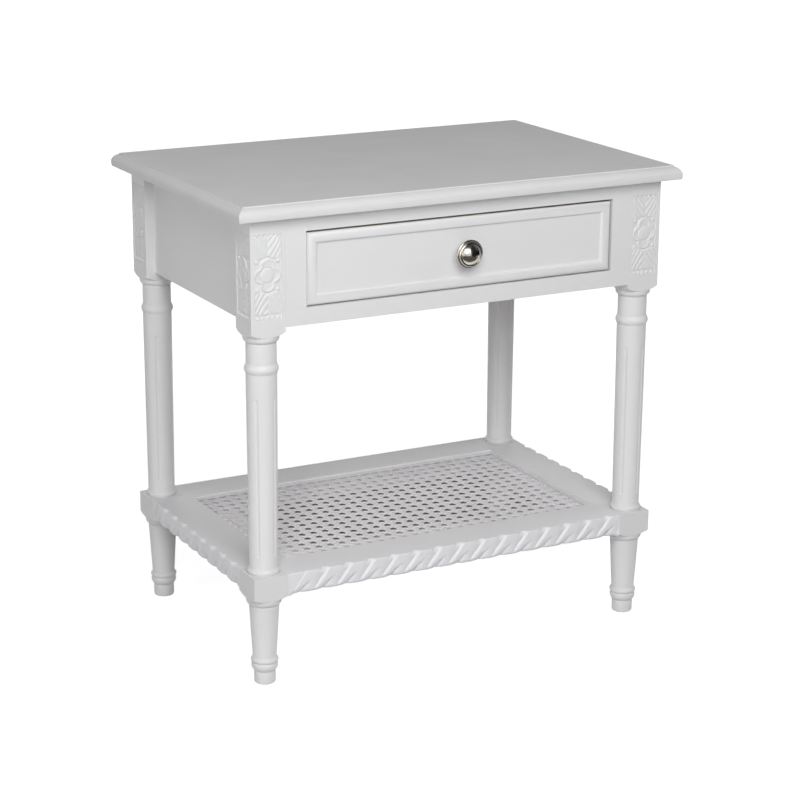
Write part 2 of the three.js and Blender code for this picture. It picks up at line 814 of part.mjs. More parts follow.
function drawerSide(side) {
  const shoulder = drawerFrontThickness + glueLine;
  const tip = drawerFrontThickness - tailLength;
  const corners = [
    [drawerLength, drawerSideBottom],
    [drawerLength, drawerSideTop],
    [shoulder, drawerSideTop],
  ];
  for (const middle of tailMiddles().reverse()) {
    corners.push(
      [shoulder, middle + tailNarrowWidth / 2],
      [tip, middle + tailWideWidth / 2],
      [tip, middle - tailWideWidth / 2],
      [shoulder, middle - tailNarrowWidth / 2],
    );
  }
  corners.push([shoulder, drawerSideBottom]);
  const board = sidePrism(corners, span(side, drawerInnerHalf, drawerHalf));
  const groove = span(side, drawerInnerHalf - overrun, drawerInnerHalf + bottomGrooveDepth);
  const dado = span(side, drawerInnerHalf - overrun, drawerInnerHalf + backDadoDepth);
  const dadoRun = grown([drawerBackRear - drawerBackThickness, drawerBackRear], glueLine);
  return without(board, [
    box(groove, [-overrun, drawerLength + overrun], bottomGrooveLevels()),
    box(dado, dadoRun, [drawerBottomLevel, drawerSideTop + overrun]),
  ]);
}

function drawerBack() {
  const half = drawerInnerHalf + backDadoDepth - glueLine;
  const run = [drawerBackRear - drawerBackThickness, drawerBackRear];
  const foot = drawerBottomLevel + drawerBottomThickness + glueLine;
  return box([-half, half], run, [foot, drawerSideTop - drawerBackDrop]);
}

function drawerBottom() {
  const half = drawerInnerHalf + bottomGrooveDepth - looseGap;
  const run = [drawerFrontThickness - bottomGrooveDepth + looseGap, drawerBackRear];
  const levels = [drawerBottomLevel, drawerBottomLevel + drawerBottomThickness];
  return box([-half, half], run, levels);
}

// The knob about the Y axis, from its foot outwards, with a bore for its screw.
function knob() {
  const outline = [];
  const mark = (radius, level) => outline.push(new THREE.Vector2(radius, level));
  const waist = [knobWaistRadius, knobWaistHeight];
  const rim = [knobRadius, knobRimHeight];
  const domeFoot = knobRimHeight + knobDomeStep;
  mark(0, knobScrewBite + glueLine);
  mark(screwRadius + glueLine, knobScrewBite + glueLine);
  mark(screwRadius + glueLine, 0);
  mark(knobFootRadius, 0);
  mark(knobFootRadius, knobFootHeight);
  mark(...waist);
  for (const place of bend(waist, between(waist, rim, knobFlareShares), rim, knobFlareSteps)) {
    mark(...place);
  }
  mark(knobRadius, knobRimHeight + knobRimThickness);
  mark(knobDomeRadius, domeFoot);
  for (let step = 1; step <= knobDomeSteps; step += 1) {
    const turn = (step / knobDomeSteps) * (Math.PI / 2);
    const rise = (knobProjection - domeFoot) * Math.sin(turn);
    mark(step < knobDomeSteps ? knobDomeRadius * Math.cos(turn) : 0, domeFoot + rise);
  }
  return solid(turning(outline, knobSides));
}

// The shelf's own frame: Z runs up to 0 at its top face.
// A bar along X whose outer edge, towards the front at Y 0, is carved with leaning lobes.
function carvedBar(halfLength) {
  const lobes = Math.ceil((halfLength * 2 + lobeLean) / lobePitch);
  const lastMiddle = halfLength - lastLobeFromEnd - lobeLean / 2;
  const rowCount = edgeRowShares.length;
  const ringSize = rowCount + 2;
  const places = [];
  let rings = 0;
  for (let lobe = -lobes - spareLobes; lobe <= spareLobes; lobe += 1) {
    for (const [columnShare, plain, darted] of lobeColumnShares) {
      const middle = lastMiddle + (lobe + columnShare) * lobePitch;
      for (const [heightShare, roundShare, dartShare] of edgeRowShares) {
        const relief = lobeDepth * THREE.MathUtils.lerp(plain, darted, dartShare);
        const x = middle + lobeLean * (1 / 2 - heightShare);
        places.push(x, edgeRound * roundShare + relief, -shelfThickness * heightShare);
      }
      places.push(middle, shelfRailWidth, -shelfThickness, middle, shelfRailWidth, 0);
      rings += 1;
    }
  }
  const faces = [];
  for (let ring = 0; ring + 1 < rings; ring += 1) {
    for (let row = 0; row < ringSize; row += 1) {
      const here = ring * ringSize + row;
      const next = ring * ringSize + ((row + 1) % ringSize);
      faces.push(here, next, next + ringSize, here, next + ringSize, here + ringSize);
    }
  }
  const last = (rings - 1) * ringSize;
  for (let row = 1; row + 1 < ringSize; row += 1) {
    faces.push(0, row + 1, row, last, last + row, last + row + 1);
  }
  const geometry = new THREE.BufferGeometry();
  geometry.setAttribute("position", new THREE.Float32BufferAttribute(places, 3));
  geometry.setIndex(faces);
  return geometry;
}

// The hollow in the top of the shelf frame that takes the cane.
function shelfHollow() {
  return box([-recessX, recessX], [-recessY, recessY], [ledgeLevel, overrun]);
}

function shelfTenon(axis, side) {
  const levels = about(shelfTenonMiddle, shelfTenonThickness);
  if (axis === "x") {
    const half = innerX - glueLine + shelfTenonLength;
    return box([-half, half], about(side * legY, shelfTenonWidth), levels);
  }
  const half = innerY - glueLine + shelfTenonLength;
  return box(about(side * legX, shelfTenonWidth), [-half, half], levels);
}

function shelfFrontRail() {
  const half = innerX - glueLine;
  const carved = carvedBar(half);
  carved.translate(0, -outerY, 0);
  const stock = box([-half, half], span(-1, outerY - shelfRailWidth, outerY), [-shelfThickness, 0]);
  return solid(carved).intersect(stock).subtract(shelfHollow()).add(shelfTenon("x", -1));
}

function shelfBackRail() {
  const half = innerX - glueLine;
  const stock = box([-half, half], span(1, outerY - shelfRailWidth, outerY), [-shelfThickness, 0]);
  return stock.subtract(shelfHollow()).add(shelfTenon("x", 1));
}

function shelfSideRail(side) {
  const half = innerY - glueLine;
  const carved = carvedBar(half);
  carved.translate(0, -outerX, 0);
  carved.rotateZ((side * Math.PI) / 2);
  const across = span(side, outerX - shelfRailWidth, outerX);
  const stock = box(across, [-half, half], [-shelfThickness, 0]);
  const notchAcross = span(side, outerX - shelfRailWidth - overrun, innerX);
  const notchReach = [outerY - shelfRailWidth - glueLine, innerY + overrun];
  const notches = [-1, 1].map((end) =>
    box(notchAcross, span(end, ...notchReach), [-shelfThickness - overrun, overrun]),
  );
  const body = without(solid(carved).intersect(stock), [shelfHollow(), ...notches]);
  return body.add(shelfTenon("y", side));
}

// The cane: a flat net in a solid margin that lies on the ledge.
function canePanel() {
  const half = new THREE.Vector2(recessX - looseGap, recessY - looseGap);
  const columns = Math.floor(((half.x - caneRim) * 2) / caneHolePitch);
  const rows = Math.floor(((half.y - caneRim) * 2) / caneHolePitch);
  const outline = new THREE.Shape();
  outline.moveTo(-half.x, -half.y);
  outline.lineTo(half.x, -half.y);
  outline.lineTo(half.x, half.y);
  outline.lineTo(-half.x, half.y);
  const turn = Math.PI / caneHoleSides;
  const holeRadius = caneHoleWidth / 2 / Math.cos(turn);
  for (let row = 0; row < rows; row += 1) {
    for (let column = 0; column < columns; column += 1) {
      const x = (column - (columns - 1) / 2) * caneHolePitch;
      const y = (row - (rows - 1) / 2) * caneHolePitch;
      const corners = Array.from({ length: caneHoleSides }, (_, corner) => {
        const angle = turn * 2 * corner;
        return new THREE.Vector2(x + holeRadius * Math.cos(angle), y + holeRadius * Math.sin(angle));
      });
      outline.holes.push(new THREE.Path(corners));
    }
  }
  const settings = { depth: caneThickness - glueLine, bevelEnabled: false };
  const geometry = new THREE.ExtrudeGeometry(outline, settings);
  geometry.translate(0, 0, ledgeLevel + glueLine);
  return solid(geometry);
}

// One of the four splines that hold the cane down, mitred at its ends.
function caneSpline(axis, side) {
  const [alongHalf, acrossHalf] = axis === "x" ? [recessX, recessY] : [recessY, recessX];
  const outer = acrossHalf - looseGap;
  const inner = outer - splineWidth;
  const outerEnd = alongHalf - looseGap - glueLine;
  const innerEnd = outerEnd - splineWidth;
  const corners = [
    [-outerEnd, side * outer],
    [-innerEnd, side * inner],
    [innerEnd, side * inner],
    [outerEnd, side * outer],
  ];
  const placed = axis === "x" ? corners : corners.map(([along, across]) => [across, along]);
  const foot = ledgeLevel + caneThickness + glueLine;
  return prism(placed, [foot, foot + splineHeight]);
}

const table = new THREE.Group();

const top = piece("top_panel", topPanel(), whitePaint);
top.position.z = topUnder;
table.add(top);

for (const [row, back] of [["front", -1], ["rear", 1]]) {
  for (const [column, right] of [["left", -1], ["right", 1]]) {
    const corner = row + "_" + column;
    const post = piece("leg_" + corner, leg(right, back, fluteTurns[corner]), whitePaint);
    post.position.set(right * legX, back * legY, 0);
    table.add(post);
  }
}

table.add(piece("front_upper_rail", upperRail(), whitePaint));
table.add(piece("front_lower_rail", lowerRail(), whitePaint));
table.add(piece("apron_back", backApron(), whitePaint));
for (const [name, side] of [["left", -1], ["right", 1]]) {
  table.add(piece("front_stile_" + name, stile(side), whitePaint));
  table.add(piece("apron_" + name, sideApron(side), whitePaint));
  table.add(piece("drawer_runner_" + name, runner(side), bareWood));
  table.add(piece("drawer_guide_" + name, guide(side), bareWood));
  table.add(piece("drawer_kicker_" + name, kicker(side), bareWood));
  table.add(piece("drawer_stop_" + name, drawerStop(side), bareWood));
  table.add(piece("corner_block_" + name, cornerBlock(side), bareWood));
}

for (const { name, x, y } of screwPlaces()) {
  const shank = frameTop - openingTop - counterboreDepth + glueLine + topScrewBite;
  const topScrew = piece("top_screw_" + name, screw(shank), steel);
  topScrew.rotation.x = Math.PI / 2;
  topScrew.position.set(x, y, openingTop + counterboreDepth - glueLine - screwHeadHeight);
  table.add(topScrew);
}

const drawer = new THREE.Group();
drawer.position.set(0, -outerY, openingBottom + drawerBottomGap);
table.add(drawer);
drawer.add(piece("drawer_front", drawerFront(), whitePaint));
drawer.add(piece("drawer_side_left", drawerSide(-1), bareWood));
drawer.add(piece("drawer_side_right", drawerSide(1), bareWood));
drawer.add(piece("drawer_back", drawerBack(), bareWood));
drawer.add(piece("drawer_bottom", drawerBottom(), bareWood));

const pull = piece("knob", knob(), nickel);
pull.rotation.x = Math.PI;
pull.position.set(0, fieldDepth - glueLine, knobLevel);
drawer.add(pull);

const pullScrew = piece("knob_screw", screw(drawerFrontThickness - fieldDepth + knobScrewBite), steel);
pullScrew.rotation.x = Math.PI;
pullScrew.position.set(0, drawerFrontThickness + screwHeadHeight + glueLine, knobLevel);
drawer.add(pullScrew);

const shelf = new THREE.Group();
shelf.position.z = shelfTop;
table.add(shelf);
shelf.add(piece("shelf_rail_front", shelfFrontRail(), whitePaint));
shelf.add(piece("shelf_rail_back", shelfBackRail(), whitePaint));
shelf.add(piece("shelf_rail_left", shelfSideRail(-1), whitePaint));
shelf.add(piece("shelf_rail_right", shelfSideRail(1), whitePaint));
shelf.add(piece("cane_panel", canePanel(), canePaint));
shelf.add(piece("cane_spline_front", caneSpline("x", -1), whitePaint));
shelf.add(piece("cane_spline_back", caneSpline("x", 1), whitePaint));
shelf.add(piece("cane_spline_left", caneSpline("y", -1), whitePaint));
shelf.add(piece("cane_spline_right", caneSpline("y", 1), whitePaint));

export default table;
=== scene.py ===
# A white painted side table with a drawer and a caned shelf. Metres, Z up, its front towards -Y.

import math

import bpy
from mathutils import Matrix, Vector


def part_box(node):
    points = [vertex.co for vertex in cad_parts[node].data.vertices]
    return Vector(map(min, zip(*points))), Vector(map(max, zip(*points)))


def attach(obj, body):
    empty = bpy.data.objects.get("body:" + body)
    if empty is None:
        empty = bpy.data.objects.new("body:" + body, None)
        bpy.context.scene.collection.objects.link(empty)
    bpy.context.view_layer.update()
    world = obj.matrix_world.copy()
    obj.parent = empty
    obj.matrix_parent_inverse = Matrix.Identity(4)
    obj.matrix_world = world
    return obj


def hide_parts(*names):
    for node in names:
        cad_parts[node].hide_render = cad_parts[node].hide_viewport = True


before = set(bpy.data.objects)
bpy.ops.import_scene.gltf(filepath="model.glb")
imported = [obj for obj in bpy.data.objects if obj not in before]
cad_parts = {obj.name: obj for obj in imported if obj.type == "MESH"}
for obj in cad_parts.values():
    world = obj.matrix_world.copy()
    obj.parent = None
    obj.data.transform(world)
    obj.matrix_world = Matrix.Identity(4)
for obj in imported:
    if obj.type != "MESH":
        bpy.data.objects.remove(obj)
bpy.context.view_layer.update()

MM = 0.001


# ---------------------------------------------------------------- camera

CAMERA_PLACE = Vector((-1.2845, -2.4469, 1.0952))
CAMERA_YAW = math.radians(-27.421)
CAMERA_PITCH = math.radians(-15.763)
CAMERA_ROLL = math.radians(0.189)

camera_data = bpy.data.cameras.new("camera")
camera_data.sensor_width = 36
camera_data.lens = 100.25
camera_data.shift_x = 0.0229
camera_data.shift_y = -0.0341
camera = bpy.data.objects.new("camera", camera_data)
bpy.context.scene.collection.objects.link(camera)
camera.matrix_world = (
    Matrix.Translation(CAMERA_PLACE)
    @ Matrix.Rotation(CAMERA_YAW, 4, "Z")
    @ Matrix.Rotation(math.pi / 2 + CAMERA_PITCH, 4, "X")
    @ Matrix.Rotation(CAMERA_ROLL, 4, "Z")
)
bpy.context.scene.camera = camera


# ---------------------------------------------------------------- sizes, in millimetres

def millimetres(node):
    """The low and high corners of a CAD node."""
    low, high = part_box(node)
    return [value / MM for value in low], [value / MM for value in high]


TOP_LOW, TOP_HIGH = millimetres("top_panel")
POST_LOW, POST_HIGH = millimetres("leg_front_left")
RAIL_LOW, RAIL_HIGH = millimetres("front_lower_rail")
SHELF_LOW, SHELF_HIGH = millimetres("shelf_rail_back")
FACE_LOW, FACE_HIGH = millimetres("drawer_front")
OUTER_X = -POST_LOW[0]
OUTER_Y = -POST_LOW[1]
POST = POST_HIGH[0] - POST_LOW[0]
HALF_POST = POST / 2
INNER_X = OUTER_X - POST
INNER_Y = OUTER_Y - POST
LEG_X = OUTER_X - HALF_POST
LEG_Y = OUTER_Y - HALF_POST
POST_TOP = POST_HIGH[2]
FRAME_BOTTOM = RAIL_LOW[2]
SHELF_TOP = SHELF_HIGH[2]
SHELF_THICKNESS = SHELF_HIGH[2] - SHELF_LOW[2]
HAIRLINE = 0.04
OVERRUN = 2


# ---------------------------------------------------------------- modelling

def deselect():
    bpy.ops.object.select_all(action="DESELECT")


def take(piece):
    """Makes a piece the only selected one, and the active one."""
    deselect()
    piece.select_set(True)
    bpy.context.view_layer.objects.active = piece


def edit(piece):
    """Opens a piece in edit mode with everything in it selected."""
    take(piece)
    bpy.ops.object.mode_set(mode="EDIT")
    bpy.ops.mesh.select_all(action="SELECT")


def close():
    bpy.ops.object.mode_set(mode="OBJECT")


def tidy(piece):
    """Joins what lies on one point and turns the faces outwards."""
    edit(piece)
    bpy.ops.mesh.remove_doubles(threshold=1e-6)
    bpy.ops.mesh.normals_make_consistent(inside=False)
    close()
    return piece


def settle(piece):
    """Puts a piece's place, turn and size into its mesh."""
    take(piece)
    bpy.ops.object.transform_apply(location=True, rotation=True, scale=True)
    return piece


def smooth(piece, degrees=30):
    take(piece)
    bpy.ops.object.shade_smooth_by_angle(angle=math.radians(degrees))
    return piece


def name_it(piece, name):
    piece.name = name
    piece.data.name = name
    return piece


def build_up(name, sides, rings):
    """A closed form that is drawn up ring by ring. Each ring is half its width, half its depth and
    its level."""
    deselect()
    if sides == 4:
        bpy.ops.mesh.primitive_plane_add(size=2)
    else:
        bpy.ops.mesh.primitive_circle_add(vertices=sides, radius=1, fill_type="NGON")
    piece = name_it(bpy.context.object, name)
    edit(piece)
    half_x, half_y, level = (value * MM for value in rings[0])
    bpy.ops.transform.resize(value=(half_x, half_y, 1), center_override=(0, 0, 0))
    bpy.ops.transform.translate(value=(0, 0, level))
    for ring in rings[1:]:
        next_x, next_y, next_level = (value * MM for value in ring)
        rise = {"value": (0, 0, next_level - level)}
        bpy.ops.mesh.extrude_region_move(TRANSFORM_OT_translate=rise)
        if next_x == 0:
            bpy.ops.mesh.merge(type="CENTER")
            break
        grow = (next_x / half_x, next_y / half_y, 1)
        bpy.ops.transform.resize(value=grow, center_override=(0, 0, next_level))
        half_x, half_y, level = next_x, next_y, next_level
    close()
    return tidy(piece)


def turn(name, sides, outline):
    """A turned form: each place of the outline is its radius and its level."""
    return build_up(name, sides, [(radius, radius, level) for radius, level in outline])


def block(name, low, high, ease=0.0):
    """A board between two corners, with its edges eased."""
    deselect()
    bpy.ops.mesh.primitive_cube_add(size=1)
    piece = name_it(bpy.context.object, name)
    edit(piece)
    size = [(b - a) * MM for a, b in zip(low, high)]
    middle = [(a + b) / 2 * MM for a, b in zip(low, high)]
    bpy.ops.transform.resize(value=size, center_override=(0, 0, 0))
    bpy.ops.transform.translate(value=middle)
    if ease:
        bpy.ops.mesh.bevel(offset=ease * MM, segments=1, affect="EDGES")
    close()
    return piece


def combine(piece, tool, operation):
    """Cuts one solid with another, or joins them, and uses up the second."""
    take(piece)
    bpy.ops.object.modifier_add(type="BOOLEAN")
    joint = piece.modifiers[-1]
    joint.operation = operation
    joint.object = tool
    joint.solver = "EXACT"
    bpy.ops.object.modifier_apply(modifier=joint.name)
    bpy.data.objects.remove(tool)
    return piece


def join(piece, others):
    """Makes several meshes one piece."""
    deselect()
    for other in others:
        other.select_set(True)
    piece.select_set(True)
    bpy.context.view_layer.objects.active = piece
    bpy.ops.object.join()
    return piece


def copy_of(piece, name):
    twin = piece.copy()
    twin.data = piece.data.copy()
    bpy.context.scene.collection.objects.link(twin)
    return name_it(twin, name)


def stand_for(piece, body, slot, *nodes):
    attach(piece, body)
    if nodes:
        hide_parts(*nodes)
    return piece


def bend(start, towards, end, steps):
    """Places of a curve that bends towards a point, without the first."""
    places = []
    for step in range(1, steps + 1):
        share = step / steps
        places.append(tuple(
            (1 - share) ** 2 * a + 2 * share * (1 - share) * b + share ** 2 * c
            for a, b, c in zip(start, towards, end)
        ))
    return places


def clamp(value, low=0.0, high=1.0):
    return max(low, min(high, value))


def ramp(low, high, value):
    """Rises smoothly from 0 at the low end to 1 at the high end."""
    share = clamp((value - low) / (high - low))
    return share * share * (3 - 2 * share)


# ---------------------------------------------------------------- materials

def linear(code):
    """An sRGB hex colour as the linear colour that a shader takes."""
    parts = [int(code[place:place + 2], 16) / 255 for place in (1, 3, 5)]
    return tuple(
        part / 12.92 if part <= 0.04045 else ((part + 0.055) / 1.055) ** 2.4
        for part in parts
    ) + (1.0,)


def add(tree, kind, sockets=None, **settings):
    """Adds a node. A socket is given a value, or the output of another node."""
    made = tree.nodes.new("ShaderNode" + kind)
    for name, value in settings.items():
        setattr(made, name, value)
    for name, value in (sockets or {}).items():
        if isinstance(value, bpy.types.NodeSocket):
            tree.links.new(value, made.inputs[name])
        else:
            made.inputs[name].default_value = value
    return made


def new_material(name):
    material = bpy.data.materials.new(name)
    material.use_nodes = True
    material.node_tree.nodes.clear()
    return material


def output(tree, shader):
    add(tree, "OutputMaterial", {"Surface": shader})


def painted_wood(name, along, colour="#e9e9ea", shade="#e7e7e8", roughness=0.42, sheen=0.35):
    """Satin paint brushed on wood. The eye gets a soft sheen with faint streaks along the board."""
    material = new_material(name)
    tree = material.node_tree
    place = add(tree, "TexCoord").outputs["Object"]
    streak_length, streak_width = 0.12, 0.0018
    streak_height, streak_strength = 0.0001, 0.08
    clouds_per_metre = 14.0
    gloss_spread = 0.05
    stretch = [1 / streak_width] * 3
    stretch["xyz".index(along)] = 1 / streak_length
    streaks_at = add(tree, "Mapping", {"Vector": place, "Scale": stretch}).outputs["Vector"]
    streaks = add(tree, "TexNoise", {
        "Vector": streaks_at, "Scale": 1.0, "Detail": 3.0, "Roughness": 0.6,
    }).outputs["Fac"]
    clouds = add(tree, "TexNoise", {
        "Vector": place, "Scale": clouds_per_metre, "Detail": 3.0, "Roughness": 0.55,
    }).outputs["Fac"]
    tone = add(tree, "Math", {0: streaks, 1: clouds}, operation="MULTIPLY").outputs[0]
    tone = add(tree, "MapRange", {
        "Value": tone, "From Min": 0.12, "From Max": 0.42, "To Min": 0.0, "To Max": 1.0,
    }).outputs[0]
    base = add(tree, "Mix", {
        "Factor": tone, 6: linear(shade), 7: linear(colour),
    }, data_type="RGBA").outputs[2]
    gloss = add(tree, "MapRange", {
        "Value": streaks, "From Min": 0.3, "From Max": 0.7,
        "To Min": roughness + gloss_spread, "To Max": roughness - gloss_spread,
    }).outputs[0]
    bump = add(tree, "Bump", {
        "Height": streaks, "Strength": streak_strength, "Distance": streak_height,
    }).outputs[0]
    shader = add(tree, "BsdfPrincipled", {
        "Base Color": base, "Roughness": gloss, "Normal": bump,
        "IOR": 1.5, "Specular IOR Level": sheen,
    })
    output(tree, shader.outputs[0])
    return material


def bare_wood(name, along):
    """Planed pale hardwood without finish. The eye gets long grain and a few darker bands. The
    fibres are drawn 0.9 mm wide, coarser than real ones, so that they show."""
    material = new_material(name)
    tree = material.node_tree
    place = add(tree, "TexCoord").outputs["Object"]
    fibre_length, fibre_width = 0.07, 0.0009
    fibre_height, fibre_strength = 0.00015, 0.3
    fibre_share = 0.45
    stretch = [1 / fibre_width] * 3
    stretch["xyz".index(along)] = 1 / fibre_length
    fibres_at = add(tree, "Mapping", {"Vector": place, "Scale": stretch}).outputs["Vector"]
    fibres = add(tree, "TexNoise", {
        "Vector": fibres_at, "Scale": 1.0, "Detail": 4.0, "Roughness": 0.65,
    }).outputs["Fac"]
    band_length, band_width = 0.5, 0.013
    stretch = [1 / band_width] * 3
    stretch["xyz".index(along)] = 1 / band_length
    bands_at = add(tree, "Mapping", {"Vector": place, "Scale": stretch}).outputs["Vector"]
    bands = add(tree, "TexNoise", {
        "Vector": bands_at, "Scale": 1.0, "Detail": 2.0, "Distortion": 0.6,
    }).outputs["Fac"]
    grain = add(tree, "Mix", {
        "Factor": fibre_share, 2: bands, 3: fibres,
    }, data_type="FLOAT").outputs[0]
    ramp_node = add(tree, "ValToRGB", {"Fac": grain})
    stops = ramp_node.color_ramp.elements
    stops[0].position, stops[0].color = 0.32, linear("#ab9a80")
    stops[1].position, stops[1].color = 0.68, linear("#d3c4a8")
    bump = add(tree, "Bump", {
        "Height": fibres, "Strength": fibre_strength, "Distance": fibre_height,
    }).outputs[0]
    shader = add(tree, "BsdfPrincipled", {
        "Base Color": ramp_node.outputs["Color"], "Roughness": 0.68, "Normal": bump, "IOR": 1.5,
    })
    output(tree, shader.outputs[0])
    return material


def metal(name, colour, roughness, mark_size):
    """Polished and plated metal. The eye gets sharp reflections with a slight haze of polishing
    marks."""
    material = new_material(name)
    tree = material.node_tree
    place = add(tree, "TexCoord").outputs["Object"]
    haze_spread = 0.3
    marks = add(tree, "TexNoise", {
        "Vector": place, "Scale": 1 / mark_size, "Detail": 4.0, "Roughness": 0.6,
    }).outputs["Fac"]
    haze = add(tree, "MapRange", {
        "Value": marks, "From Min": 0.3, "From Max": 0.7,
        "To Min": roughness * (1 - haze_spread), "To Max": roughness * (1 + haze_spread),
    }).outputs[0]
    shader = add(tree, "BsdfPrincipled", {
        "Base Color": linear(colour), "Metallic": 1.0, "Roughness": haze,
    })
    output(tree, shader.outputs[0])
    return material


PAINT = {axis: painted_wood("satin_paint_brushed_along_" + axis, axis) for axis in "xyz"}
# The top's paint is a darker copy of the frame's paint: painted shade that makes the top read
# darker than the fronts.
TOP_PAINT = painted_wood("satin_paint_darkened_as_painted_shade", "x", "#e6e6e6", "#e0e0e1", 0.5, 0.12)
# The shelf's paint is a lighter copy of the frame's paint: painted light that makes the shelf
# brighter than the top.
SHELF_PAINT = {
    axis: painted_wood("satin_paint_fresh_along_" + axis, axis, "#f1f1f4", "#eeeef1", 0.42, 0.3)
    for axis in "xy"
}
CANE_PAINT = painted_wood("satin_paint_on_woven_cane", "x", "#f7f5f8", "#eeecef", 0.5, 0.3)
WOOD = {axis: bare_wood("planed_hardwood_along_" + axis, axis) for axis in "xyz"}
NICKEL = metal("nickel_plate_polished", "#c6c2bb", 0.2, 0.004)
STEEL = metal("zinc_plated_steel_cut_threads", "#a8a8a6", 0.36, 0.0015)


def dress(piece, material):
    piece.data.materials.clear()
    piece.data.materials.append(material)
    return piece


# ---------------------------------------------------------------- the top

NOSE_HEIGHT = 7.3
NOSE_UNDERCUT = 0.8
THUMB_DEPTH = 7.6
STEP_HEIGHT = 1.4
STEP_DEPTH = 0.6
STEP_FOOT_SHARE = 0.35
STEP_HEAD_SHARE = 1.4
STEP_ROUND = 0.15
THUMB_BEND = (0.2, 0.7)
NOSE_BEND = (1.0, 0.3)


def top_board():
    half_x, half_y = TOP_HIGH[0], TOP_HIGH[1]
    thick = TOP_HIGH[2] - TOP_LOW[2]
    low, nose = (NOSE_UNDERCUT, 0), (0, NOSE_HEIGHT)
    thumb = (THUMB_DEPTH, thick - STEP_HEIGHT)
    towards_nose = (NOSE_UNDERCUT * (1 - NOSE_BEND[0]), NOSE_HEIGHT * NOSE_BEND[1])
    rise = thumb[1] - NOSE_HEIGHT
    towards_thumb = (THUMB_DEPTH * THUMB_BEND[0], NOSE_HEIGHT + rise * THUMB_BEND[1])
    places = [low]
    places += bend(low, towards_nose, nose, 5)
    places += bend(nose, towards_thumb, thumb, 12)
    step_foot = (THUMB_DEPTH + STEP_DEPTH * STEP_FOOT_SHARE, thick - STEP_HEIGHT)
    step_head = (THUMB_DEPTH + STEP_DEPTH, thick - STEP_ROUND)
    places += [step_foot, step_head, (THUMB_DEPTH + STEP_DEPTH * STEP_HEAD_SHARE, thick)]
    rings = [(half_x - inset, half_y - inset, TOP_LOW[2] + level) for inset, level in places]
    board = smooth(build_up("top_board", 4, rings), 25)
    dress(board, TOP_PAINT)
    stand_for(board, "frame", "painted_wood", "top_panel")


top_board()


# ---------------------------------------------------------------- the carved panels

PANEL_WIDTH = 35.2
PANEL_HEIGHT = 100.1
PANEL_TOP = TOP_LOW[2] - 18.9
PANEL_MIDDLE = PANEL_TOP - PANEL_HEIGHT / 2
PANEL_DEPTH = 2.0
FLOWER_ABOVE_MIDDLE = 1.5
BOSS_RADIUS = 8.9
PETAL_RADIUS = 9.6
PETAL_SIDE_PLACE = 7.6
PETAL_END_PLACE = 10.6
PETAL_HEIGHT = 0.95
PETAL_RISE = (-0.1, 1.2)
PETAL_HOLLOW = 0.45
PETAL_HOLLOW_REACH = (1.8, 5.0)
BOSS_EDGE = 0.25
MOAT = (1.3, 0.2)
MOAT_DEPTH = 0.75
BALL_RADIUS = 2.5
BALL_PLACE = (13.6, 16.6)
BALL_EDGE, BALL_HEIGHT = 0.2, 0.75
DOT_RADIUS = 2.0
DOT_PITCH = 6.6
DOT_ROW_HALF = 2.5
DOT_ROW_PLACE = PANEL_HEIGHT / 2 - DOT_RADIUS * 0.75
DOT_EDGE, DOT_HEIGHT = 0.15, 0.8
LEAF_START = 21.5
LEAF_TAPER = 0.25
LEAF_RISE = 1.2
LEAF_SIDE = (17.2, 16.0)
LEAF_END = (46.6, 45.2)
LEAF_BODY = 0.28
RIB_HEIGHT = 0.42
RIB_PITCH = 9.5
RIB_SLOPE = 0.9
RIB_CURVE = 0.035
RIB_RISE = 0.3
RIB_FALL_START = 0.4
RIB_FALL = 0.75
VEIN_DEPTH = 0.3
VEIN_WIDTH = (1.8, 0.4)
SHEET_FLOOR = 0.25
CARVING_COLUMNS = 74
CARVING_ROWS = 208


def flower_height(x, z):
    """The flower, in shares of the panel's depth: a domed boss in a ring of four broad petals."""
    radius = math.hypot(x, z)
    edges = [
        math.hypot(abs(x) - PETAL_SIDE_PLACE, z) - PETAL_RADIUS,
        math.hypot(x, abs(z) - PETAL_END_PLACE) - PETAL_RADIUS,
    ]
    inside = -min(edges)
    petal = PETAL_HEIGHT * ramp(*PETAL_RISE, inside)
    petal -= PETAL_HOLLOW * ramp(*PETAL_HOLLOW_REACH, inside)
    if radius < BOSS_RADIUS + MOAT[0]:
        petal *= 1 - MOAT_DEPTH * ramp(BOSS_RADIUS + MOAT[0], BOSS_RADIUS + MOAT[1], radius)
    boss = 0.0
    if radius < BOSS_RADIUS:
        boss = BOSS_EDGE + (1 - BOSS_EDGE) * math.sqrt(1 - (radius / BOSS_RADIUS) ** 2)
    return max(petal, boss)


def leaf_height(x, z):
    """The leaves over and under the flower: ribs that run up and out from the middle to the
    corners."""
    across, up = abs(x), abs(z)
    start = LEAF_START - LEAF_TAPER * across
    if up < start:
        return 0.0
    line = up - RIB_SLOPE * across - RIB_CURVE * across * across
    share = line / RIB_PITCH - math.floor(line / RIB_PITCH)
    ridge = ramp(0, RIB_RISE, share) * (1 - RIB_FALL * ramp(RIB_FALL_START, 1, share))
    vein = 1 - VEIN_DEPTH * ramp(*VEIN_WIDTH, across)
    body = LEAF_BODY + RIB_HEIGHT * ridge
    edge = ramp(start, start + LEAF_RISE, up) * ramp(*LEAF_SIDE, across) * ramp(*LEAF_END, up)
    return body * vein * edge


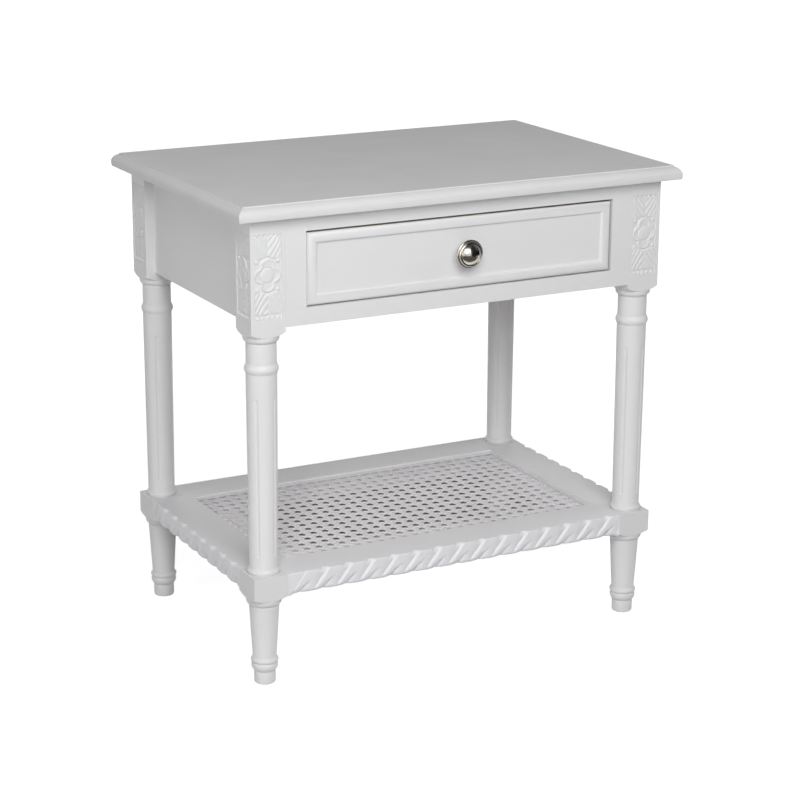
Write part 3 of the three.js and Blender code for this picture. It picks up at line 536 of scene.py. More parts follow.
def carving_height(x, z):
    """The whole carving of a panel, in shares of its depth, at a place from the panel's middle."""
    flower_z = z - FLOWER_ABOVE_MIDDLE
    height = max(flower_height(x, flower_z), leaf_height(x, flower_z))
    away = math.hypot(abs(x) - BALL_PLACE[0], abs(flower_z) - BALL_PLACE[1]) / BALL_RADIUS
    if away < 1:
        height = max(height, BALL_EDGE + BALL_HEIGHT * math.sqrt(1 - away * away))
    dot_x = x - DOT_PITCH * round(x / DOT_PITCH)
    away = math.hypot(dot_x, abs(z) - DOT_ROW_PLACE) / DOT_RADIUS
    if away < 1 and abs(x) < DOT_PITCH * DOT_ROW_HALF:
        height = max(height, DOT_EDGE + DOT_HEIGHT * math.sqrt(1 - away * away))
    return height


def carved_sheet():
    """The carving of one panel, facing up from the XY plane, with the panel's floor at level 0."""
    deselect()
    bpy.ops.mesh.primitive_grid_add(
        x_subdivisions=CARVING_COLUMNS, y_subdivisions=CARVING_ROWS, size=1
    )
    sheet = name_it(bpy.context.object, "carved_sheet")
    for vertex in sheet.data.vertices:
        x, z = vertex.co.x * PANEL_WIDTH, vertex.co.y * PANEL_HEIGHT
        height = SHEET_FLOOR + (PANEL_DEPTH - SHEET_FLOOR) * carving_height(x, z)
        vertex.co = Vector((x, z, height)) * MM
    edit(sheet)
    depth = {"value": (0, 0, -OVERRUN * MM)}
    bpy.ops.mesh.extrude_region_move(TRANSFORM_OT_translate=depth)
    bpy.ops.transform.resize(value=(1, 1, 0), center_override=(0, 0, -OVERRUN * MM))
    close()
    return tidy(sheet)


CARVED_SHEET = carved_sheet()


# ---------------------------------------------------------------- the legs

TURNED_SIDES = 96
FOOT_RADIUS = 13.2
FOOT_ROUND = 2.4
FOOT_HEIGHT = 16.1
SHELF_BLOCK = 26.8
BLOCK_BELOW_FRAME = 4.7
UPPER_COVE, COLLAR_HEIGHT, LOWER_COVE = 6, 3, 5.3
SHAFT_LOW = SHELF_TOP + 7.4
NECK_TOP = FRAME_BOTTOM - BLOCK_BELOW_FRAME - UPPER_COVE - COLLAR_HEIGHT - LOWER_COVE
RING_TOP = NECK_TOP - 0.7 - 25.3
SHAFT_HIGH = RING_TOP - 11
SHAFT_LOW_RADIUS = 17.25
SHAFT_HIGH_RADIUS = 18.6
COLLAR_RADIUS = HALF_POST - 0.3
CORNER_RADIUS = HALF_POST * math.sqrt(2) + 0.05
FLUTE_COUNT = 5
FLUTE_WIDTH = 5.2
FLUTE_DEPTH = 1.1
FLUTE_ABOVE_BEAD = 14.2
FLUTE_BELOW_RING = 27.7
FLUTE_TURNS = {"front_left": -45, "front_right": -53, "rear_left": 45, "rear_right": -45}
POST_EASE = 0.1
BEAD_BULGE, BEAD_STEPS = 1.9, 12
COVE_BULGE, COVE_STEPS = 1.1, 10


def leg_outline():
    """The outline that a leg is turned to, as (radius, level), from the floor up."""
    places = []

    def swell(radius, level, bulge, steps):
        start_radius, start_level = places[-1]
        for step in range(1, steps + 1):
            share = step / steps
            straight = start_radius + (radius - start_radius) * share
            rise = start_level + (level - start_level) * share
            places.append((straight + bulge * math.sin(math.pi * share), rise))

    for step in range(7):
        turned = step / 6 * math.pi / 2
        places.append((
            FOOT_RADIUS - FOOT_ROUND * (1 - math.sin(turned)),
            FOOT_ROUND * (1 - math.cos(turned)),
        ))
    block_low = SHELF_TOP - SHELF_BLOCK
    places.append((FOOT_RADIUS, FOOT_HEIGHT - 0.6))
    places.append((FOOT_RADIUS - 0.3, FOOT_HEIGHT))
    swell(15.6, 26.6, BEAD_BULGE, BEAD_STEPS)
    places.append((15.3, 26.9))
    swell(14.7, 34.0, BEAD_BULGE, BEAD_STEPS)
    places.append((14.5, 34.4))
    places.append((18.3, block_low - 14.2))
    places.append((17.7, block_low - 13.9))
    places.append((17.7, block_low - 13.5))
    swell(COLLAR_RADIUS, block_low - 6.9, COVE_BULGE, COVE_STEPS)
    places.append((COLLAR_RADIUS, block_low - 4.5))
    swell(CORNER_RADIUS, block_low, COVE_BULGE, COVE_STEPS)
    places.append((CORNER_RADIUS + OVERRUN, block_low))
    places.append((CORNER_RADIUS + OVERRUN, SHELF_TOP))
    places.append((18.4, SHELF_TOP))
    swell(17.4, SHAFT_LOW, BEAD_BULGE, BEAD_STEPS)
    places.append((SHAFT_LOW_RADIUS, SHAFT_LOW + 0.3))
    places.append((SHAFT_HIGH_RADIUS, SHAFT_HIGH))
    places.append((SHAFT_HIGH_RADIUS + 0.2, SHAFT_HIGH + 0.2))
    swell(18.6, RING_TOP, BEAD_BULGE, BEAD_STEPS)
    places.append((18.3, RING_TOP + 0.4))
    places.append((18.2, NECK_TOP - 0.7))
    places.append((17.6, NECK_TOP - 0.4))
    places.append((17.6, NECK_TOP))
    swell(COLLAR_RADIUS, NECK_TOP + LOWER_COVE, COVE_BULGE, COVE_STEPS)
    places.append((COLLAR_RADIUS, NECK_TOP + (LOWER_COVE + COLLAR_HEIGHT)))
    swell(CORNER_RADIUS, FRAME_BOTTOM - BLOCK_BELOW_FRAME, COVE_BULGE, COVE_STEPS)
    places.append((CORNER_RADIUS + OVERRUN, FRAME_BOTTOM - BLOCK_BELOW_FRAME))
    places.append((CORNER_RADIUS + OVERRUN, POST_TOP + OVERRUN))
    return places


def flute_cutter(degrees):
    """A round-ended bar that lies along the tapered shaft and cuts one flute."""
    radius = FLUTE_WIDTH ** 2 / (8 * FLUTE_DEPTH) + FLUTE_DEPTH / 2
    low = SHAFT_LOW + FLUTE_ABOVE_BEAD
    high = SHAFT_HIGH - FLUTE_BELOW_RING
    half = (high - low) / 2
    places = []
    for step in range(1, 9):
        turned = step / 8 * math.pi / 2
        places.append((radius * math.sin(turned), radius * (1 - math.cos(turned)) - half))
    places += [(across, -level) for across, level in reversed(places)]
    bar = turn("flute_cutter", 32, places)
    slope = (SHAFT_HIGH_RADIUS - SHAFT_LOW_RADIUS) / (SHAFT_HIGH - SHAFT_LOW)
    middle = (low + high) / 2
    surface = SHAFT_LOW_RADIUS + slope * (middle - SHAFT_LOW)
    out = (surface + radius - FLUTE_DEPTH) * MM
    bar.matrix_world = (
        Matrix.Rotation(math.radians(degrees), 4, "Z")
        @ Matrix.Translation((0, -out, middle * MM))
        @ Matrix.Rotation(math.atan(slope), 4, "X")
    )
    return bar


def make_leg(corner, right, back):
    leg = turn("turned_leg_" + corner, TURNED_SIDES, leg_outline())
    post = block(
        "post", (-HALF_POST, -HALF_POST, -OVERRUN), (HALF_POST, HALF_POST, POST_TOP), POST_EASE
    )
    combine(leg, post, "INTERSECT")
    for flute in range(FLUTE_COUNT):
        degrees = FLUTE_TURNS[corner] + flute * 360 / FLUTE_COUNT
        combine(leg, flute_cutter(degrees), "DIFFERENCE")
    faces = ["right" if right > 0 else "left"]
    if back < 0:
        faces.append("front")
    sheets = []
    for face in faces:
        floor = (HALF_POST - PANEL_DEPTH) * MM
        pocket = block(
            "pocket",
            (-PANEL_WIDTH / 2, -PANEL_DEPTH - OVERRUN, -PANEL_HEIGHT / 2),
            (PANEL_WIDTH / 2, 0, PANEL_HEIGHT / 2),
        )
        about = {"front": 0, "right": math.pi / 2, "left": -math.pi / 2}[face]
        stand = Matrix.Rotation(about, 4, "Z") @ Matrix.Translation((0, -floor, PANEL_MIDDLE * MM))
        pocket.matrix_world = stand
        combine(leg, pocket, "DIFFERENCE")
        sheet = copy_of(CARVED_SHEET, "sheet")
        sheet.matrix_world = stand @ Matrix.Rotation(math.pi / 2, 4, "X")
        sheets.append(settle(sheet))
    join(leg, sheets)
    edit(leg)
    bpy.ops.transform.translate(value=(right * LEG_X * MM, back * LEG_Y * MM, 0))
    close()
    smooth(leg, 32)
    dress(leg, PAINT["z"])
    stand_for(leg, "frame", "painted_wood", "leg_" + corner)


for row, back in (("front", -1), ("rear", 1)):
    for column, right in (("left", -1), ("right", 1)):
        make_leg(row + "_" + column, right, back)
bpy.data.objects.remove(CARVED_SHEET)


# ---------------------------------------------------------------- the frame round the drawer

EASE = 0.03


def frame_board(name, node, axis, low, high):
    board = block(name, low, high, EASE)
    smooth(board)
    dress(board, PAINT[axis])
    stand_for(board, "frame", "painted_wood", node)


for name in ("front_upper_rail", "front_lower_rail"):
    low, high = millimetres(name)
    low[0], high[0] = -INNER_X + HAIRLINE, INNER_X - HAIRLINE
    frame_board("eased_" + name, name, "x", low, high)

UPPER_LOW = millimetres("front_upper_rail")[0]
OPENING = (RAIL_HIGH[2], UPPER_LOW[2])
for side in ("left", "right"):
    node = "front_stile_" + side
    low, high = millimetres(node)
    low[2], high[2] = OPENING[0] + HAIRLINE, OPENING[1] - HAIRLINE
    frame_board("eased_" + node, node, "z", low, high)
    node = "apron_" + side
    low, high = millimetres(node)
    low[1], high[1] = -INNER_Y + HAIRLINE, INNER_Y - HAIRLINE
    frame_board("eased_" + node, node, "y", low, high)
low, high = millimetres("apron_back")
low[0], high[0] = -INNER_X + HAIRLINE, INNER_X - HAIRLINE
frame_board("eased_apron_back", "apron_back", "x", low, high)


# ---------------------------------------------------------------- the drawer front

BEAD_CREST = 6.8
BEAD_WIDTH = 12.4
BEAD_DEPTH = 1.9
BEAD_SHOULDER = 3.8
BORDER_WIDTH = 16.5
FIELD_DEPTH = 3.8
FACE_THICKNESS = 18
FACE_DROP = 0.5
FACE_EASE = 0.4
BARE_BEHIND = 6
BEND_STEPS = 8


def drawer_face():
    """The drawer front: a rounded bead round a sunk field, painted in front and bare behind."""
    half_x = (FACE_HIGH[0] - FACE_LOW[0]) / 2
    half_z = (FACE_HIGH[2] - FACE_DROP - FACE_LOW[2]) / 2
    crest = FACE_THICKNESS
    shoulder, foot = (0, crest - BEAD_SHOULDER), (BEAD_WIDTH, crest - BEAD_DEPTH)
    field = (BORDER_WIDTH, crest - FIELD_DEPTH)
    places = [(FACE_EASE, 0), (0, FACE_EASE), shoulder]
    places += bend(shoulder, (BEAD_CREST * 0.2, crest - 0.2), (BEAD_CREST, crest), BEND_STEPS)
    places += bend((BEAD_CREST, crest), (BEAD_WIDTH - 0.3, crest), foot, BEND_STEPS)
    places += bend(foot, (BEAD_WIDTH + 0.4, crest - FIELD_DEPTH), field, BEND_STEPS)
    rings = [(half_x - inset, half_z - inset, level) for inset, level in places]
    face = build_up("drawer_face", 4, rings)
    middle = (FACE_LOW[2] + FACE_HIGH[2] - FACE_DROP) / 2
    face.matrix_world = (
        Matrix.Translation((0, (FACE_THICKNESS - OUTER_Y) * MM, middle * MM))
        @ Matrix.Rotation(math.pi / 2, 4, "X")
    )
    settle(face)
    for node in ("drawer_side_left", "drawer_side_right", "drawer_bottom", "knob_screw"):
        combine(face, copy_of(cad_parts[node], "let_in"), "DIFFERENCE")
    smooth(face, 25)
    dress(face, PAINT["x"])
    face.data.materials.append(WOOD["x"])
    for polygon in face.data.polygons:
        if polygon.center.y > (BARE_BEHIND - OUTER_Y) * MM:
            polygon.material_index = 1
    stand_for(face, "drawer", "painted_wood", "drawer_front")


drawer_face()


# ---------------------------------------------------------------- the knob

KNOB_RADIUS = 17.35
KNOB_PROJECTION = 27
RIM_LEVEL = 17.6
RING_RADIUS = 16.1
COLLAR_LEVEL = 21.3
DOME_RADIUS = 13.2
DOME_LEVEL = 20.9
DOME_STEPS = 18
KNOB_SIDES = 72


def knob_outline():
    """The outline that the knob is turned to, as (radius, level), from the drawer's face out."""
    foot, waist = (7.5, 2), (6.2, 8.5)
    flare = (KNOB_RADIUS - 2.2, RIM_LEVEL - 3.4)
    bead = (KNOB_RADIUS - 1.2, RIM_LEVEL - 2.4)
    rim = (KNOB_RADIUS - 0.9, RIM_LEVEL - 1)
    edge = (KNOB_RADIUS, RIM_LEVEL)
    ring = (RING_RADIUS, RIM_LEVEL + 1)
    groove = (RING_RADIUS - 0.3, RIM_LEVEL + 0.7)
    collar = (DOME_RADIUS + 1, COLLAR_LEVEL)
    lip = (DOME_RADIUS + 0.4, COLLAR_LEVEL - 0.1)
    places = [(7.4, 0), (8, 0.5), (8, 1.6), foot]
    places += bend(foot, (waist[0], 2.6), waist, 8)
    places += bend(waist, (7.2, 13.6), flare, 14)
    places += bend(flare, (KNOB_RADIUS - 1, RIM_LEVEL - 3.2), bead, 4)
    places += [(KNOB_RADIUS - 1.5, RIM_LEVEL - 1.8), (KNOB_RADIUS - 1.5, RIM_LEVEL - 1.3), rim]
    places += bend(rim, (KNOB_RADIUS, RIM_LEVEL - 0.8), edge, 4)
    places += bend(edge, (KNOB_RADIUS, RIM_LEVEL + 0.9), ring, 5)
    places.append(groove)
    places += bend(groove, (RING_RADIUS - 0.4, COLLAR_LEVEL - 0.5), collar, 10)
    places += bend(collar, (DOME_RADIUS + 0.6, COLLAR_LEVEL + 0.1), lip, 3)
    places += [(DOME_RADIUS + 0.3, DOME_LEVEL - 0.2), (DOME_RADIUS, DOME_LEVEL - 0.2)]
    rise = KNOB_PROJECTION - DOME_LEVEL
    ball = (DOME_RADIUS ** 2 + rise ** 2) / (2 * rise)
    for step in range(DOME_STEPS):
        turned = math.asin(DOME_RADIUS / ball) * (1 - step / DOME_STEPS)
        places.append((ball * math.sin(turned), KNOB_PROJECTION - ball * (1 - math.cos(turned))))
    places.append((0, KNOB_PROJECTION))
    return places


def turned_knob():
    knob = turn("turned_knob", KNOB_SIDES, knob_outline())
    low, high = millimetres("knob")
    height = (low[2] + high[2]) / 2
    knob.matrix_world = (
        Matrix.Translation((0, (FIELD_DEPTH - HAIRLINE - OUTER_Y) * MM, height * MM))
        @ Matrix.Rotation(math.pi / 2, 4, "X")
    )
    settle(knob)
    combine(knob, copy_of(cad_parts["knob_screw"], "let_in"), "DIFFERENCE")
    smooth(knob, 35)
    dress(knob, NICKEL)
    stand_for(knob, "drawer", "nickel", "knob")


turned_knob()


# ---------------------------------------------------------------- the carved shelf frame

SHELF_RAIL_FACE = 53.5
SHELF_LEDGE = 9
SHELF_RECESS = 5.5
LEDGE_DROP = 7.5
RECESS_X = OUTER_X - SHELF_RAIL_FACE
RECESS_Y = OUTER_Y - SHELF_RAIL_FACE
RAIL_WIDTH = SHELF_RAIL_FACE + SHELF_LEDGE
LOBE_PITCH = 30.9
LOBE_LEAN = 21.0
LOBE_DEPTH = 2.6
SCALLOP_DEPTH = 5.6
FLANK_SHARE = 0.1
FALL_START = 0.45
FALL_POWER = 2.2
DART_DEPTH, DART_RISE = 0.45, (0.38, 0.5)
DART_BACK, DART_FALL = 0.4, (0.52, 0.64)
DART_END, DART_END_REACH, DART_END_POWER = 0.95, (0.72, 1), 1.5
LOBE_TO_DART, LOBE_LOW_SHARE = (0.35, 0.6), 0.6
NOTCH_DEPTH, NOTCH_HEIGHT, NOTCH_REACH = 1.5, 0.16, (0.6, 0.84)
DEEPEST = 1.6
STROKE_END, STROKE_FADE = (0.72, 0.88), 0.85
SCALLOP_REACH = (0.45, 0.85)
LAST_STROKE = 15.2
EDGE_ROUND = 5.5
EDGE_ROUND_START = 0.7
EDGE_ROUND_STOP = 0.98
END_FADE = (0.3, 3)
END_ROUND_FADE = (0.5, 9)
ARRIS_DEPTH, ARRIS_HEIGHT = 0.5, 0.035
LOBE_COLUMNS = 28
EDGE_ROWS = 30


def lobe_profile(share):
    """How deep one lobe lies at a share of its width: a steep left flank, a crown and a long soft
    fall."""
    if share < FLANK_SHARE:
        return 1 - ramp(0, FLANK_SHARE, share)
    return clamp((share - FALL_START) / (1 - FALL_START)) ** FALL_POWER


def edge_depth(place, down):
    """How deep the carved edge lies, in shares of the lobe's depth. Each lobe has a stroke along
    its flank, a notch at the top, a dart beside it and a scallop under it. place counts lobes, and
    down is the share of the edge's height from its top."""
    if place < 0:
        return 0.0
    share = place - math.floor(place)
    lobe = lobe_profile(share)
    dart = DART_DEPTH * ramp(*DART_RISE, share) - DART_BACK * ramp(*DART_FALL, share)
    dart += DART_END * ramp(*DART_END_REACH, share) ** DART_END_POWER
    depth = lobe + (max(lobe * LOBE_LOW_SHARE, dart) - lobe) * ramp(*LOBE_TO_DART, down)
    notch = clamp(1 - down / NOTCH_HEIGHT) * ramp(*NOTCH_REACH, share)
    depth = min(DEEPEST, depth + NOTCH_DEPTH * notch) * (1 - STROKE_FADE * ramp(*STROKE_END, down))
    valley = 1 - 2 * abs(share - 0.5)
    scallop = 1 - math.sqrt(1 - valley * valley)
    return depth + SCALLOP_DEPTH / LOBE_DEPTH * scallop * ramp(*SCALLOP_REACH, down)


def carved_bar(name, half_length, strokes):
    """A shelf rail along X with its carved edge at the front, at Y 0, and its top at level 0."""
    first = half_length - LAST_STROKE - (strokes - 1) * LOBE_PITCH
    low_place, high_place = -1, strokes + 1
    deselect()
    columns = (high_place - low_place) * LOBE_COLUMNS
    bpy.ops.mesh.primitive_grid_add(x_subdivisions=columns, y_subdivisions=EDGE_ROWS, size=1)
    bar = name_it(bpy.context.object, name)
    for vertex in bar.data.vertices:
        place = low_place + (vertex.co.x + 0.5) * (high_place - low_place)
        down = 0.5 - vertex.co.y
        x = first + place * LOBE_PITCH - LOBE_LEAN * down
        from_end = half_length - abs(x)
        turned = clamp((down - EDGE_ROUND_START) / (1 - EDGE_ROUND_START))
        round_in = EDGE_ROUND * (1 - math.sqrt(1 - turned * turned * EDGE_ROUND_STOP))
        round_in *= ramp(*END_ROUND_FADE, from_end)
        arris = ARRIS_DEPTH * clamp(1 - down / ARRIS_HEIGHT)
        depth = LOBE_DEPTH * edge_depth(place, down) * ramp(*END_FADE, from_end)
        vertex.co = Vector((x, depth + round_in + arris, -SHELF_THICKNESS * down)) * MM
    edit(bar)
    push = {"value": (0, RAIL_WIDTH * MM, 0)}
    bpy.ops.mesh.extrude_region_move(TRANSFORM_OT_translate=push)
    bpy.ops.transform.resize(value=(1, 0, 1), center_override=(0, RAIL_WIDTH * MM, 0))
    for end in (-1, 1):
        bpy.ops.mesh.select_all(action="SELECT")
        bpy.ops.mesh.bisect(
            plane_co=(end * half_length * MM, 0, 0), plane_no=(end, 0, 0),
            use_fill=True, clear_outer=True,
        )
    close()
    return tidy(bar)


def recess():
    low = (-RECESS_X, -RECESS_Y, SHELF_TOP - LEDGE_DROP)
    high = (RECESS_X, RECESS_Y, SHELF_TOP + OVERRUN)
    return block("recess", low, high)


def shelf_rail(piece, node, axis):
    combine(piece, recess(), "DIFFERENCE")
    smooth(piece, 40)
    dress(piece, SHELF_PAINT[axis])
    stand_for(piece, "frame", "painted_wood", node)


front_rail = carved_bar("carved_shelf_rail_front", INNER_X - HAIRLINE, 15)
front_rail.matrix_world = Matrix.Translation((0, -OUTER_Y * MM, SHELF_TOP * MM))
settle(front_rail)
shelf_rail(front_rail, "shelf_rail_front", "x")

for side, sign in (("left", -1), ("right", 1)):
    rail = carved_bar("carved_shelf_rail_" + side, INNER_Y - HAIRLINE, 9)
    rail.matrix_world = (
        Matrix.Translation((0, 0, SHELF_TOP * MM))
        @ Matrix.Rotation(sign * math.pi / 2, 4, "Z")
        @ Matrix.Translation((0, -OUTER_X * MM, 0))
    )
    settle(rail)
    near = OUTER_X - RAIL_WIDTH - OVERRUN
    for end in (-1, 1):
        ends = sorted((end * (OUTER_Y - RAIL_WIDTH - HAIRLINE), end * (INNER_Y + OVERRUN)))
        across = sorted((sign * near, sign * INNER_X))
        notch = block(
            "notch",
            (across[0], ends[0], SHELF_TOP - SHELF_THICKNESS - OVERRUN),
            (across[1], ends[1], SHELF_TOP + OVERRUN),
        )
        combine(rail, notch, "DIFFERENCE")
    shelf_rail(rail, "shelf_rail_" + side, "y")

back_rail = block(
    "eased_shelf_rail_back",
    (-INNER_X + HAIRLINE, OUTER_Y - RAIL_WIDTH, SHELF_TOP - SHELF_THICKNESS),
    (INNER_X - HAIRLINE, OUTER_Y, SHELF_TOP),
    EASE,
)
shelf_rail(back_rail, "shelf_rail_back", "x")


# ---------------------------------------------------------------- the cane

CANE_PITCH = 16.15
CANE_SHIFT_Y = -1.7
STRAND_WIDTH = 3.55
PAIR_SPREAD = 1.9
DIAGONAL_WIDTH = 2.9
STRAND_THICKNESS = 0.5
STRAND_WAVE = 0.4
DIAGONAL_WAVE = 0.7
STRAND_STEPS = 6
DIAGONAL_STEPS = 4
CANE_EDGE_GAP = 0.3
WELD_DISTANCE = 0.01
CANE_LEVEL = SHELF_TOP - SHELF_RECESS - DIAGONAL_WAVE - STRAND_THICKNESS / 2 - HAIRLINE


def strand(width, start, end, steps, level_at):
    """A flat strand between two places of the weave. level_at gives its level at a share of its
    length."""
    deselect()
    bpy.ops.mesh.primitive_grid_add(x_subdivisions=steps, y_subdivisions=1, size=1)
    piece = bpy.context.object
    start, end = Vector(start), Vector(end)
    along = end - start
    across = Vector((-along.y, along.x)).normalized()
    for vertex in piece.data.vertices:
        share = vertex.co.x + 0.5
        place = start + along * share + across * (vertex.co.y * width)
        vertex.co = Vector((place.x, place.y, level_at(share))) * MM
    return piece


def woven_cane():
    """Six-way cane: pairs of strands along X and Y, woven, with single diagonals over and under."""
    half = CANE_PITCH / 2
    strands = []

    def over_to_under(share):
        return DIAGONAL_WAVE * math.cos(math.pi * share)

    def under_to_over(share):
        return -DIAGONAL_WAVE * math.cos(math.pi * share)

    for sign in (-1, 1):
        wave = STRAND_WAVE * sign

        def weave(share, wave=wave):
            return wave * math.sin(2 * math.pi * share)

        def counter(share, wave=wave):
            return -wave * math.sin(2 * math.pi * share)

        spread = PAIR_SPREAD * sign
        strands.append(strand(STRAND_WIDTH, (spread, -half), (spread, half), STRAND_STEPS, weave))
        strands.append(strand(STRAND_WIDTH, (-half, spread), (half, spread), STRAND_STEPS, counter))
        for reach, level_at in ((-half, over_to_under), (half, under_to_over)):
            start, end = (0, sign * half), (sign * reach, 0)
            strands.append(strand(DIAGONAL_WIDTH, start, end, DIAGONAL_STEPS, level_at))
    cane = join(strands[0], strands[1:])
    name_it(cane, "woven_cane")
    columns = 2 * math.ceil(RECESS_X / CANE_PITCH) + 1
    rows = 2 * math.ceil(RECESS_Y / CANE_PITCH) + 2
    take(cane)
    for axis, count in ((0, columns), (1, rows)):
        bpy.ops.object.modifier_add(type="ARRAY")
        repeat = cane.modifiers[-1]
        repeat.count = count
        repeat.use_relative_offset = False
        repeat.use_constant_offset = True
        offset = [0, 0, 0]
        offset[axis] = CANE_PITCH * MM
        repeat.constant_offset_displace = offset
        bpy.ops.object.modifier_apply(modifier=repeat.name)
    edit(cane)
    bpy.ops.mesh.remove_doubles(threshold=WELD_DISTANCE * MM)
    bpy.ops.mesh.select_all(action="SELECT")
    place = (
        -(columns - 1) / 2 * CANE_PITCH * MM,
        (-(rows - 1) / 2 * CANE_PITCH + CANE_SHIFT_Y) * MM,
        CANE_LEVEL * MM,
    )
    bpy.ops.transform.translate(value=place)
    for axis, reach in ((0, RECESS_X), (1, RECESS_Y)):
        for end in (-1, 1):
            centre, normal = [0, 0, 0], [0, 0, 0]
            centre[axis] = end * (reach - CANE_EDGE_GAP) * MM
            normal[axis] = end
            bpy.ops.mesh.select_all(action="SELECT")
            bpy.ops.mesh.bisect(plane_co=centre, plane_no=normal, clear_outer=True)
    bpy.ops.mesh.select_all(action="SELECT")
    bpy.ops.mesh.normals_make_consistent(inside=False)
    close()
    take(cane)
    bpy.ops.object.modifier_add(type="SOLIDIFY")
    skin = cane.modifiers[-1]
    skin.thickness = STRAND_THICKNESS * MM
    skin.offset = 0
    bpy.ops.object.modifier_apply(modifier=skin.name)
    smooth(cane, 35)
    dress(cane, CANE_PAINT)
    stand_for(cane, "frame", "painted_cane", "cane_panel")


woven_cane()

for side in ("front", "back", "left", "right"):
    dress(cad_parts["cane_spline_" + side], PAINT["x" if side in ("front", "back") else "y"])


# ---------------------------------------------------------------- the bare wood and the screws

GRAIN = {
    "drawer_side": "y", "drawer_back": "x", "drawer_bottom": "x", "drawer_runner": "y",
    "drawer_guide": "y", "drawer_kicker": "y", "drawer_stop": "x", "corner_block": "z",
}
for node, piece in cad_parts.items():
    for start, axis in GRAIN.items():
        if node.startswith(start):
            dress(piece, WOOD[axis])
    if "screw" in node:
        dress(piece, STEEL)


# ---------------------------------------------------------------- light and floor

def maths(tree, operation, first, second, use_clamp=False):
    made = add(tree, "Math", {0: first, 1: second}, operation=operation, use_clamp=use_clamp)
    return made.outputs[0]


def white_to_the_eye(tree, strength):
    """A strength only where the camera, a reflection or a look through glass meets the surface."""
    path = add(tree, "LightPath")
    seen = maths(tree, "ADD", path.outputs["Is Camera Ray"], path.outputs["Is Glossy Ray"])
    seen = maths(tree, "ADD", seen, path.outputs["Is Transmission Ray"], use_clamp=True)
    return maths(tree, "MULTIPLY", seen, strength)


def soft_lamp(name, azimuth, elevation, distance, level):
    """A square softbox that points at the table. Azimuth runs from the front to the left, and level
    is what a white surface that faces the lamp returns."""
    turned, raised = math.radians(azimuth), math.radians(elevation)
    flat = math.cos(raised)
    towards = Vector((-math.sin(turned) * flat, -math.cos(turned) * flat, math.sin(raised)))
    lamp = bpy.data.lights.new(name, "AREA")
    lamp.shape = "SQUARE"
    lamp.size = LAMP_SIZE
    lamp.energy = level * (math.pi * distance) ** 2
    holder = bpy.data.objects.new(name, lamp)
    bpy.context.scene.collection.objects.link(holder)
    holder.location = Vector((0, 0, LAMP_AIM)) + towards * distance
    holder.rotation_euler = towards.to_track_quat("Z", "Y").to_euler()


AMBIENT = 0.075
LAMP_SIZE = 1.4
LAMP_AIM = 0.35
LAMPS = {
    "key_beside_the_camera": {"azimuth": 20, "elevation": 31, "distance": 2.3, "level": 0.7},
    "fill_right": {"azimuth": -70, "elevation": 32, "distance": 3.2, "level": 0.12},
    "fill_left": {"azimuth": 80, "elevation": 12, "distance": 3.2, "level": 0.16},
    "fill_back": {"azimuth": 180, "elevation": 8, "distance": 3.2, "level": 0.12},
}
for name, setting in LAMPS.items():
    soft_lamp(name, **setting)

world = bpy.data.worlds.new("studio")
bpy.context.scene.world = world
world.use_nodes = True
tree = world.node_tree
tree.nodes.clear()
strength = maths(tree, "ADD", white_to_the_eye(tree, 1 - AMBIENT), AMBIENT)
background = add(tree, "Background", {"Color": (1, 1, 1, 1), "Strength": strength})
add(tree, "OutputWorld", {"Surface": background.outputs[0]})


def within(tree, value, middle, inner, outer):
    """1 within a distance of a middle, falling smoothly to 0 at an outer distance."""
    away = maths(tree, "ABSOLUTE", maths(tree, "SUBTRACT", value, middle), 0.0)
    return add(tree, "MapRange", {
        "Value": away, "From Min": inner, "From Max": outer, "To Min": 1.0, "To Max": 0.0,
    }, interpolation_type="SMOOTHSTEP").outputs[0]


# A painted shadow: a soft rectangle of floor behind the shelf, seen through the cane's holes, that
# is painted darker and not lifted to white.
SHELF_SHADOW_MIDDLE = (0.182, 0.347)
SHELF_SHADOW_INNER = (0.170, 0.085)
SHELF_SHADOW_OUTER = (0.319, 0.211)
LIFT_NEAR, LIFT_FAR = 0.85, 1.0
LIFT_REACH = (0.6, 1.8)


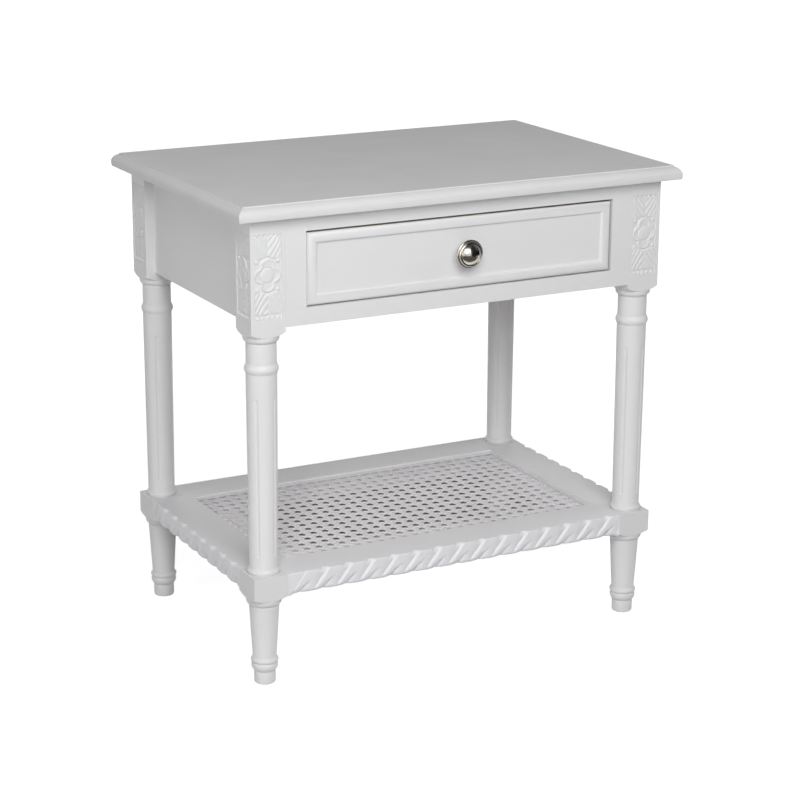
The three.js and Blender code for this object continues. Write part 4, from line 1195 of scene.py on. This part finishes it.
def floor_paint():
    """Matt pale board that is lifted to white for the eye, but for a painted shadow under and
    behind the shelf, where the lift stops and the board's colour is painted a darker grey. The eye
    gets a clean white surround, with that painted shadow in the cane's holes."""
    material = new_material("studio_floor_white_with_painted_shelf_shadow")
    tree = material.node_tree
    place = add(tree, "TexCoord").outputs["Object"]
    axes = add(tree, "SeparateXYZ", {"Vector": place})
    shadow = zip(axes.outputs, SHELF_SHADOW_MIDDLE, SHELF_SHADOW_INNER, SHELF_SHADOW_OUTER)
    shade = maths(tree, "MULTIPLY", *(within(tree, *axis) for axis in shadow))
    away = add(tree, "VectorMath", {0: place}, operation="LENGTH").outputs["Value"]
    lift = add(tree, "MapRange", {
        "Value": away, "From Min": LIFT_REACH[0], "From Max": LIFT_REACH[1],
        "To Min": LIFT_NEAR, "To Max": LIFT_FAR,
    }, interpolation_type="SMOOTHSTEP").outputs[0]
    lift = maths(tree, "MULTIPLY", lift, maths(tree, "SUBTRACT", 1.0, shade))
    # Painted shadow: inside the rectangle the floor's colour goes over to a darker grey.
    colour = add(tree, "Mix", {
        "Factor": shade, 6: linear("#cfcfcf"), 7: linear("#96928f"),
    }, data_type="RGBA").outputs[2]
    diffuse = add(tree, "BsdfDiffuse", {"Color": colour})
    glow = add(tree, "Emission", {"Color": (1, 1, 1, 1), "Strength": white_to_the_eye(tree, lift)})
    both = add(tree, "AddShader", {0: diffuse.outputs[0], 1: glow.outputs[0]})
    output(tree, both.outputs[0])
    return material


deselect()
bpy.ops.mesh.primitive_plane_add(size=60)
floor = name_it(bpy.context.object, "studio_floor")
dress(floor, floor_paint())


def studio_card(name, colour, corners):
    """A card that glows at its own dark colour and that only reflections see, like the card a
    studio sets beside shining metal. It puts painted dark reflections into the knob and the paint.
    """
    material = new_material("glowing_reflection_card_" + name)
    shine = add(material.node_tree, "Emission", {"Color": linear(colour), "Strength": 1.0})
    output(material.node_tree, shine.outputs[0])
    deselect()
    bpy.ops.mesh.primitive_plane_add(size=1)
    card = name_it(bpy.context.object, "studio_card_" + name)
    for vertex, corner in zip(card.data.vertices, corners):
        vertex.co = Vector(corner)
    dress(card, material)
    card.visible_camera = False
    card.visible_diffuse = False
    card.visible_shadow = False
    card.visible_transmission = False


studio_card("black", "#101010", (
    (0.2, -1.9, 0.1), (1.7, 0.2, 0.1), (0.2, -1.9, 2.4), (1.7, 0.2, 2.4),
))
studio_card("brown", "#66605a", (
    (-1.8, -2.4, 0.02), (1.1, -2.4, 0.02), (-1.8, -0.4, 0.02), (1.1, -0.4, 0.02),
))
studio_card("grey", "#4c4a48", (
    (-1.8, -2.4, 1.7), (1.8, -2.4, 1.7), (-1.8, 0.7, 2.4), (1.8, 0.7, 2.4),
))

bpy.context.scene.view_settings.view_transform = "Standard"
